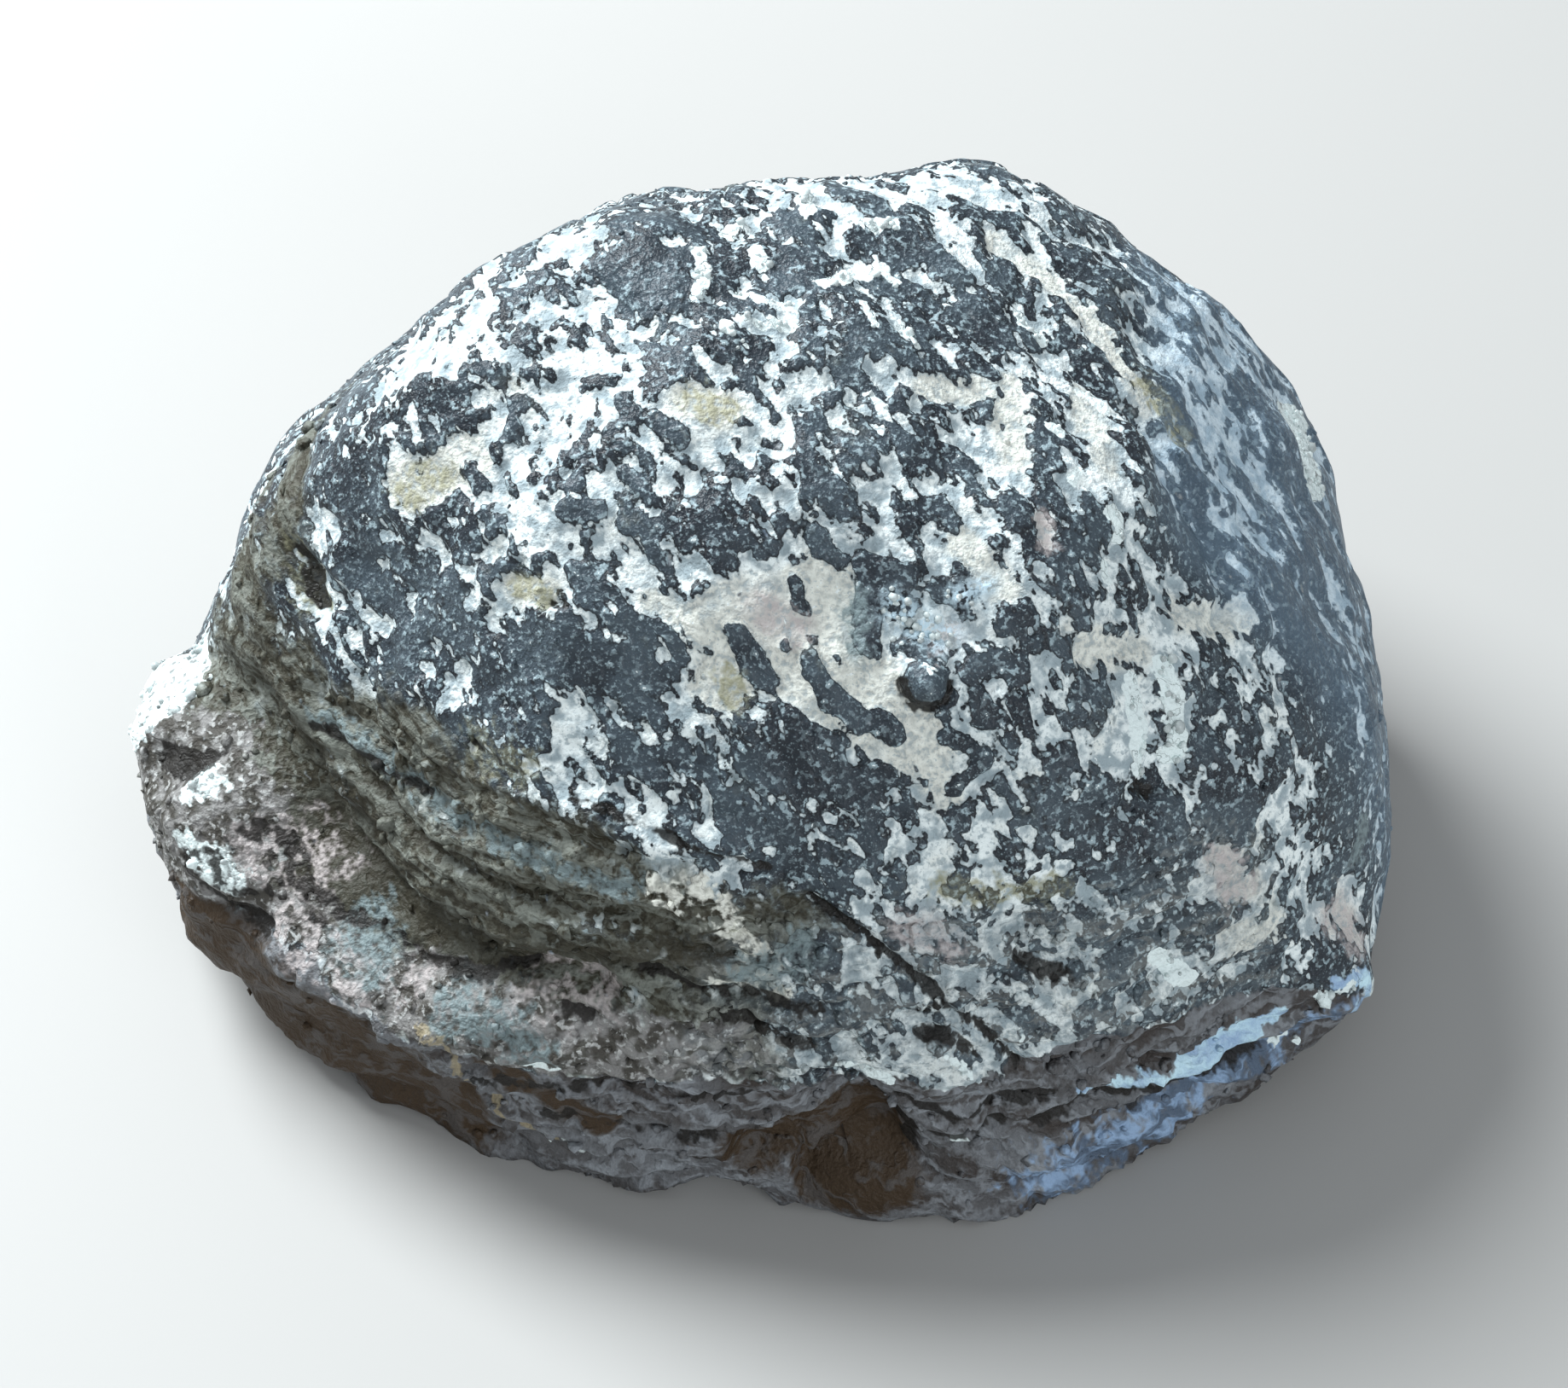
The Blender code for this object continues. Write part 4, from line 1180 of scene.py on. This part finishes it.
    # Painted shade along the foot of the flank.
    olive = coat(olive, edged("dusk", 0.5, 0.2, 0.9), 0.8, "olive_dark")
    ragged = wires.add(wires.swing(broad, 0.8), wires.times(push, 0.35))
    flank = wires.rise(wires.add(wires.stored("flank"), ragged), 0.25, 0.85)
    stone = wires.blend(flank, dome, olive)

    # The crumbly collar under the flank, the folds in front and the broken walls.
    crumbly = coats(
        tones(mottle, 0.42, 0.58, "collar_dark", "collar"),
        (fleck, 0.55, 0.66, 0.7, "collar_pale"),
    )
    stone = coat(stone, edged("collar", 0.5, 0.3, 0.7), 0.85, crumbly)
    fold = coats(
        wires.blend(bands, colour("fold_dark"), colour("fold_light")),
        (fleck, 0.42, 0.62, 0.6, "fold_light"),
        (streak, 0.62, 0.85, 0.7, "fold_pale"),
        # Painted highlight on each ledge top, painted shade at each ledge foot.
        (bed, 0.6, 1.0, 0.6, "fold_pale"),
        (bed, 0.3, 0.0, 0.85, "fold_dark"),
        (fleck, 0.60, 0.68, 0.6, "crust"),
    )
    folds = edged("folds", 0.6, 0.2, 0.8)
    stone = coat(stone, folds, 0.30, fold)
    blotched = wires.rise(wires.add(mottle, wires.swing(fleck, 0.3)), 0.40, 0.56)
    stone = coat(stone, edged("foldcream", 0.6, 0.35, 0.65), blotched, cream)
    broken = coats(
        wires.blend(bands, colour("wall_dark"), colour("wall_light")),
        (streak, 0.5, 0.9, 0.40, "wall_pale"),
        # Painted highlight on each ledge top, painted shade at each ledge foot.
        (bed, 0.6, 1.0, 0.30, "wall_pale"),
        (bed, 0.3, 0.0, 0.8, "wall_dark"),
    )
    wall = edged("wall", 0.4, 0.4, 0.6)
    stone = wires.blend(wall, stone, broken)

    # Stains and local colours, with the painted shade of the brown undercut: field, raggedness,
    # low and high, what thins them, colour.
    flecked = wires.rise(fleck, 0.25, 0.6)
    on_crust = wires.rest(wires.times(skin, 0.55))
    mottled = wires.rise(mottle, 0.42, 0.56)
    icy = tones(streak, 0.2, 0.9, "ice_dark", "ice")
    # Painted shade of the undercut and the alcove, with faint pale streaks.
    brown = coats(colour("brown"), (streak, 0.45, 0.9, 0.3, "wall_light"))
    for name, ragged, low, high, shares, top in (
        ("teal", 0.7, 0.35, 0.85, (flecked, 0.9), "teal"),
        ("ochre", 0.7, 0.35, 0.85, (on_crust, flecked, 0.8), "ochre"),
        ("rose", 0.7, 0.35, 0.85, (flecked, mottled, 0.75), "rose"),
        ("ice", 0.7, 0.35, 0.85, (0.9,), icy),
        ("brown", 0.2, 0.2, 0.5, (1.0,), brown),
    ):
        mask = edged(name, ragged, low, high)
        for share in shares[:-1]:
            mask = wires.times(mask, share)
        stone = coat(stone, mask, shares[-1], top)
    milky = tones(fleck, 0.3, 0.7, "milky_grey", "milky")
    under = wires.add(wires.stored("under"), wires.swing(broad, 0.4))
    stone = coats(stone, (under, 0.4, 0.7, 0.8, milky))

    # The pale seam, the chalcedony band, quartz, frosting, glints with one painted highlight, and
    # the cracks with the painted shadow lines.
    stone = coat(stone, edged("seam", 0.3, -0.05, 0.1), 0.8, "seam")
    band = edged("band", 0.5, -0.05, 0.15)
    stone = wires.blend(band, stone, wires.blend(streak, colour("ice"), colour("band")))
    quartz = edged("quartz", 0.5, -0.05, 0.1)
    stone = wires.blend(quartz, stone, tones(fleck, 0.30, 0.50, "milky_grey", "quartz"))
    stone = coat(stone, wires.rise(fleck, 0.40, 0.52), wires.stored("frost"), "frost")
    # Glints: bright quartz, and one painted highlight on the slate bead.
    stone = wires.blend(edged("glint", 0.6, 0.0, 0.1), stone, colour("quartz"))
    # Cracks, and painted shadows along shadowed outlines, nearly black.
    stone = coat(stone, edged("crack_and_shadow", 0.5, -0.12, 0.12), 0.93, "crack_and_shadow")
    wires.feed(shader["Base Color"], stone)

    # Polish: the skin and the quartz have a sheen, the crust and the flank are dull.
    strata = wires.math("MAXIMUM", wires.math("MAXIMUM", flank, folds), wall)
    rough = wires.between(skin, CRUST_ROUGHNESS, SKIN_ROUGHNESS)
    rough = wires.between(strata, rough, STRATA_ROUGHNESS)
    rough = wires.between(wires.math("MAXIMUM", band, quartz), rough, QUARTZ_ROUGHNESS)
    wires.feed(shader["Roughness"], rough)

    # Fine relief: the ragged edge of the skin, grain, and streaks on the strata.
    height = wires.times(skin, wires.rest(strata))
    height = wires.add(height, wires.times(fleck, 1.3))
    height = wires.add(height, wires.times(dust, 0.4))
    height = wires.add(height, wires.times(streak, wires.times(strata, 0.8)))
    inputs = {"Strength": 0.75, "Distance": BUMP_HEIGHT * MM, "Height": height}
    wires.feed(shader["Normal"], wires.node("ShaderNodeBump", inputs).outputs[0])
    return material


def crystal_material(colours):
    """Milky quartz: each crystal its own tone from white to greyish blue, with a clear gloss."""
    material, wires, shader = new_material("milky_quartz", Roughness=CRYSTAL_ROUGHNESS)
    cloud = wires.noise(wires.place(), MM / CLOUDS_A_MM, 1.0)
    tone = wires.math("MULTIPLY", wires.add(wires.stored("tone"), cloud), 0.6, clamp=True)
    shade = wires.blend(tone, (*colours.milky_grey, 1.0), (*colours.quartz, 1.0))
    wires.feed(shader["Base Color"], shade)
    return material


def colour_property(label, default):
    """A colour that can be set, without its alpha."""
    return FloatVectorProperty(
        name=label, description=label, default=default, subtype="COLOR", size=3, min=0.0, max=1.0
    )


def length_property(label, description, default):
    """A length in metres that can be set."""
    return FloatProperty(
        name=label, description=description, default=default, min=0.0001, unit="LENGTH",
        subtype="DISTANCE",
    )


class GeodeColours(bpy.types.PropertyGroup):
    """Colours of the stone."""

    __annotations__ = {
        name: colour_property(label, default) for name, label, default in COLOUR_DEFAULTS
    }


class GeodeStone(bpy.types.PropertyGroup):
    """How finely the stone is made."""

    side: IntProperty(
        name="Squares a side",
        description="Squares along each of the six grids that close round the stone",
        default=128, min=8, max=128,
    )
    pull: FloatProperty(
        name="Finer in front",
        description="How far the grid is drawn to the side seen most, as a share of its radius",
        default=0.38, min=0.0, max=0.8,
    )


class GeodeGrains(bpy.types.PropertyGroup):
    """How much small stuff sits on the stone."""

    crumbs: IntProperty(
        name="Crumbs tried",
        description="Random spots tried for a crumb of stone; only rough places get one",
        default=9000, min=0,
    )
    crumb_size: length_property("Crumb size", "Width of a middling crumb of stone", 0.0008)
    crystals: IntProperty(
        name="Crystals tried",
        description="Random spots tried for a quartz crystal; only bright quartz gets one",
        default=40000, min=0,
    )
    crystal_size: length_property("Crystal size", "Height of a middling quartz crystal", 0.0005)


class GeodeStage(bpy.types.PropertyGroup):
    """The light on the stone."""

    key_power: FloatProperty(
        name="Window light", description="Power of the light from behind on the left",
        default=12.0, min=0.0, subtype="POWER",
    )
    fill_power: FloatProperty(
        name="Fill light", description="Power of the light from the front",
        default=2.4, min=0.0, subtype="POWER",
    )
    sky_strength: FloatProperty(
        name="Sky light", description="Strength of the even light all round", default=0.42, min=0.0
    )


class GEODE_OT_stone(bpy.types.Operator):
    """Builds the whole stone: one closed surface with its skin, strata, walls and underside"""

    bl_idname = "geode.stone"
    bl_label = "Build the stone"

    def execute(self, context):
        """One ball of directions, its fields and its surface."""
        settings = context.scene.geode_stone
        rays, quads = ball_rays(settings.side, settings.pull, SEEN_MOST)
        fields = skin_fields(rays)
        mesh = make_mesh("stone", surface(rays, relief(rays, fields)), quads)
        keep_fields(mesh, {name: fields[name] for name in STORED_FIELDS})
        piece = place("stone", mesh, stone_material(context.scene.geode_colours))
        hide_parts("geode")
        return {"FINISHED"}


class GEODE_OT_crumbs(bpy.types.Operator):
    """Scatters crumbs of stone where the surface is rough: flank, folds, walls and collar"""

    bl_idname = "geode.crumbs"
    bl_label = "Scatter crumbs"

    def execute(self, context):
        """Lumps of random size and lean; their corners are pushed about by a share of the size."""

        def chance(fields):
            """Chance of a crumb: a sum of the rough regions, hardly any in the brown undercut."""
            rough = fields["wall"] * 0.55 + fields["folds"] * 0.5 + fields["flank"] * 0.45
            rough = rough + fields["collar"] * 0.6
            return np.clip(0.04 + rough, 0.0, 0.8) * (1.0 - 0.9 * fields["brown"])

        settings = context.scene.geode_grains
        draws = np.random.default_rng(CRUMB_SEED)
        spots, normals, fields = chosen_spots(settings.crumbs, draws, chance)
        size = settings.crumb_size / MM * np.exp(CRUMB_SPREAD * draws.normal(size=(len(spots), 1)))
        rough = fields["wall"] + fields["folds"] + fields["flank"]
        size = size * np.clip(0.6 + 0.4 * rough, 0.0, 1.0)[:, None]
        sizes = size * draws.uniform(*CRUMB_SIDES, (len(spots), 3)) * CRUMB_SHAPE
        ways = unit(normals + CRUMB_LEAN * draws.normal(size=normals.shape))
        shape, faces = crumb_shape()
        points = bedded(shape, sizes, spots, ways, draws.uniform(*SPINS, len(spots)))
        points = points + CRUMB_DENTS * size[:, None] * draws.normal(size=points.shape)
        place_copies("crumbs", points, faces, fields, bpy.data.materials["weathered_stone"])
        return {"FINISHED"}


class GEODE_OT_crystals(bpy.types.Operator):
    """Sets small quartz crystals where bright quartz and frosting show"""

    bl_idname = "geode.crystals"
    bl_label = "Set crystals"

    def execute(self, context):
        """Crystals of random height, width and lean, each with a tone of its own."""

        def chance(fields):
            """Chance of a crystal: half on quartz, half on glints, more on frosting."""
            bright = (fields["quartz"] > 0.1) * 0.5 + (fields["glint"] > 0.05) * 0.5
            return bright + 0.8 * fields["frost"]

        settings = context.scene.geode_grains
        draws = np.random.default_rng(CRYSTAL_SEED)
        spots, normals, fields = chosen_spots(settings.crystals, draws, chance)
        height = np.exp(CRYSTAL_SPREAD * draws.normal(size=len(spots)))
        height = settings.crystal_size / MM * height
        width = height * draws.uniform(*CRYSTAL_SIDES, len(spots))
        ways = unit(normals + CRYSTAL_LEAN * draws.normal(size=normals.shape))
        shape, faces = crystal_shape()
        sizes = np.stack([width, width, height], -1)
        points = bedded(shape, sizes, spots, ways, draws.uniform(*SPINS, len(spots)))
        tones = {"tone": draws.random(len(spots))}
        place_copies(
            "crystals", points, faces, tones, crystal_material(context.scene.geode_colours)
        )
        return {"FINISHED"}


def add_light(name, place_at, size, tint, power):
    """A round soft light that shines at the camera's target."""
    lamp = bpy.data.lights.new(name, "AREA")
    lamp.shape = "DISK"
    lamp.size = size
    lamp.energy = power
    lamp.color = tint
    thing = new_object(name, lamp)
    thing.location = place_at
    way = np.array(CAMERA_TARGET) - np.array(place_at)
    turn = math.atan2(way[1], way[0]) - math.pi / 2.0
    tilt = math.pi / 2.0 + math.atan2(way[2], math.hypot(way[0], way[1]))
    thing.rotation_euler = (tilt, 0.0, turn)


class GEODE_OT_stage(bpy.types.Operator):
    """Makes the floor, the lights and the camera"""

    bl_idname = "geode.stage"
    bl_label = "Set the stage"

    def execute(self, context):
        """Floor, sky, two lights, and a camera that looks down at the pitch of the photograph."""
        settings = context.scene.geode_stage
        scene = context.scene
        corners = np.array([(-1, -1, 0), (1, -1, 0), (1, 1, 0), (-1, 1, 0)], float)
        mesh = make_mesh("floor", corners * FLOOR_HALF / MM, np.array([[0, 1, 2, 3]]))
        looks = {"Base_Color": FLOOR_COLOUR, "Roughness": FLOOR_ROUGHNESS}
        mesh.materials.append(new_material("pale_floor", **looks)[0])
        floor = new_object("floor", mesh)

        world = bpy.data.worlds.new("sky")
        world.use_nodes = True
        sky = world.node_tree.nodes["Background"]
        sky.inputs["Color"].default_value = SKY_COLOUR
        sky.inputs["Strength"].default_value = settings.sky_strength
        scene.world = world
        scene.view_settings.view_transform = "Standard"
        add_light("window", *WINDOW_LIGHT, settings.key_power)
        add_light("front fill", *FILL_LIGHT, settings.fill_power)

        lens = bpy.data.cameras.new("camera")
        lens.lens = LENS
        lens.sensor_width = SENSOR
        lens.clip_start = NEAREST
        camera = new_object("camera", lens)
        pitch = math.radians(CAMERA_PITCH)
        back = np.array((0.0, -math.cos(pitch), math.sin(pitch)))
        camera.location = np.array(CAMERA_TARGET) + CAMERA_DISTANCE * back
        camera.rotation_euler = (math.pi / 2.0 - pitch, 0.0, 0.0)
        scene.camera = camera
        return {"FINISHED"}


class GEODE_PT_panel(bpy.types.Panel):
    """Lists the settings and the steps of the geode"""

    bl_idname = "GEODE_PT_panel"
    bl_label = "Quartz geode"
    bl_space_type = "VIEW_3D"
    bl_region_type = "UI"
    bl_category = "Geode"

    def draw(self, context):
        """One box of settings for each group, then a button for each step."""
        for name in GROUPS:
            settings = getattr(context.scene, name)
            box = self.layout.box()
            for key in settings.__annotations__:
                box.prop(settings, key)
        for operator in OPERATORS:
            self.layout.operator(operator.bl_idname)


GROUPS = {
    "geode_stone": GeodeStone, "geode_colours": GeodeColours, "geode_grains": GeodeGrains,
    "geode_stage": GeodeStage,
}
OPERATORS = (GEODE_OT_stone, GEODE_OT_crumbs, GEODE_OT_crystals, GEODE_OT_stage)
CLASSES = (*GROUPS.values(), *OPERATORS, GEODE_PT_panel)


def register():
    """Makes the settings, the steps and the panel known."""
    for one in CLASSES:
        bpy.utils.register_class(one)
    for name, group in GROUPS.items():
        setattr(bpy.types.Scene, name, PointerProperty(type=group))


def unregister():
    """Takes them away again."""
    for name in GROUPS:
        delattr(bpy.types.Scene, name)
    for one in reversed(CLASSES):
        bpy.utils.unregister_class(one)


def main():
    """Runs the steps in order."""
    register()
    bpy.ops.geode.stone()
    bpy.ops.geode.crumbs()
    bpy.ops.geode.crystals()
    bpy.ops.geode.stage()


if __name__ == "__main__":
    main()
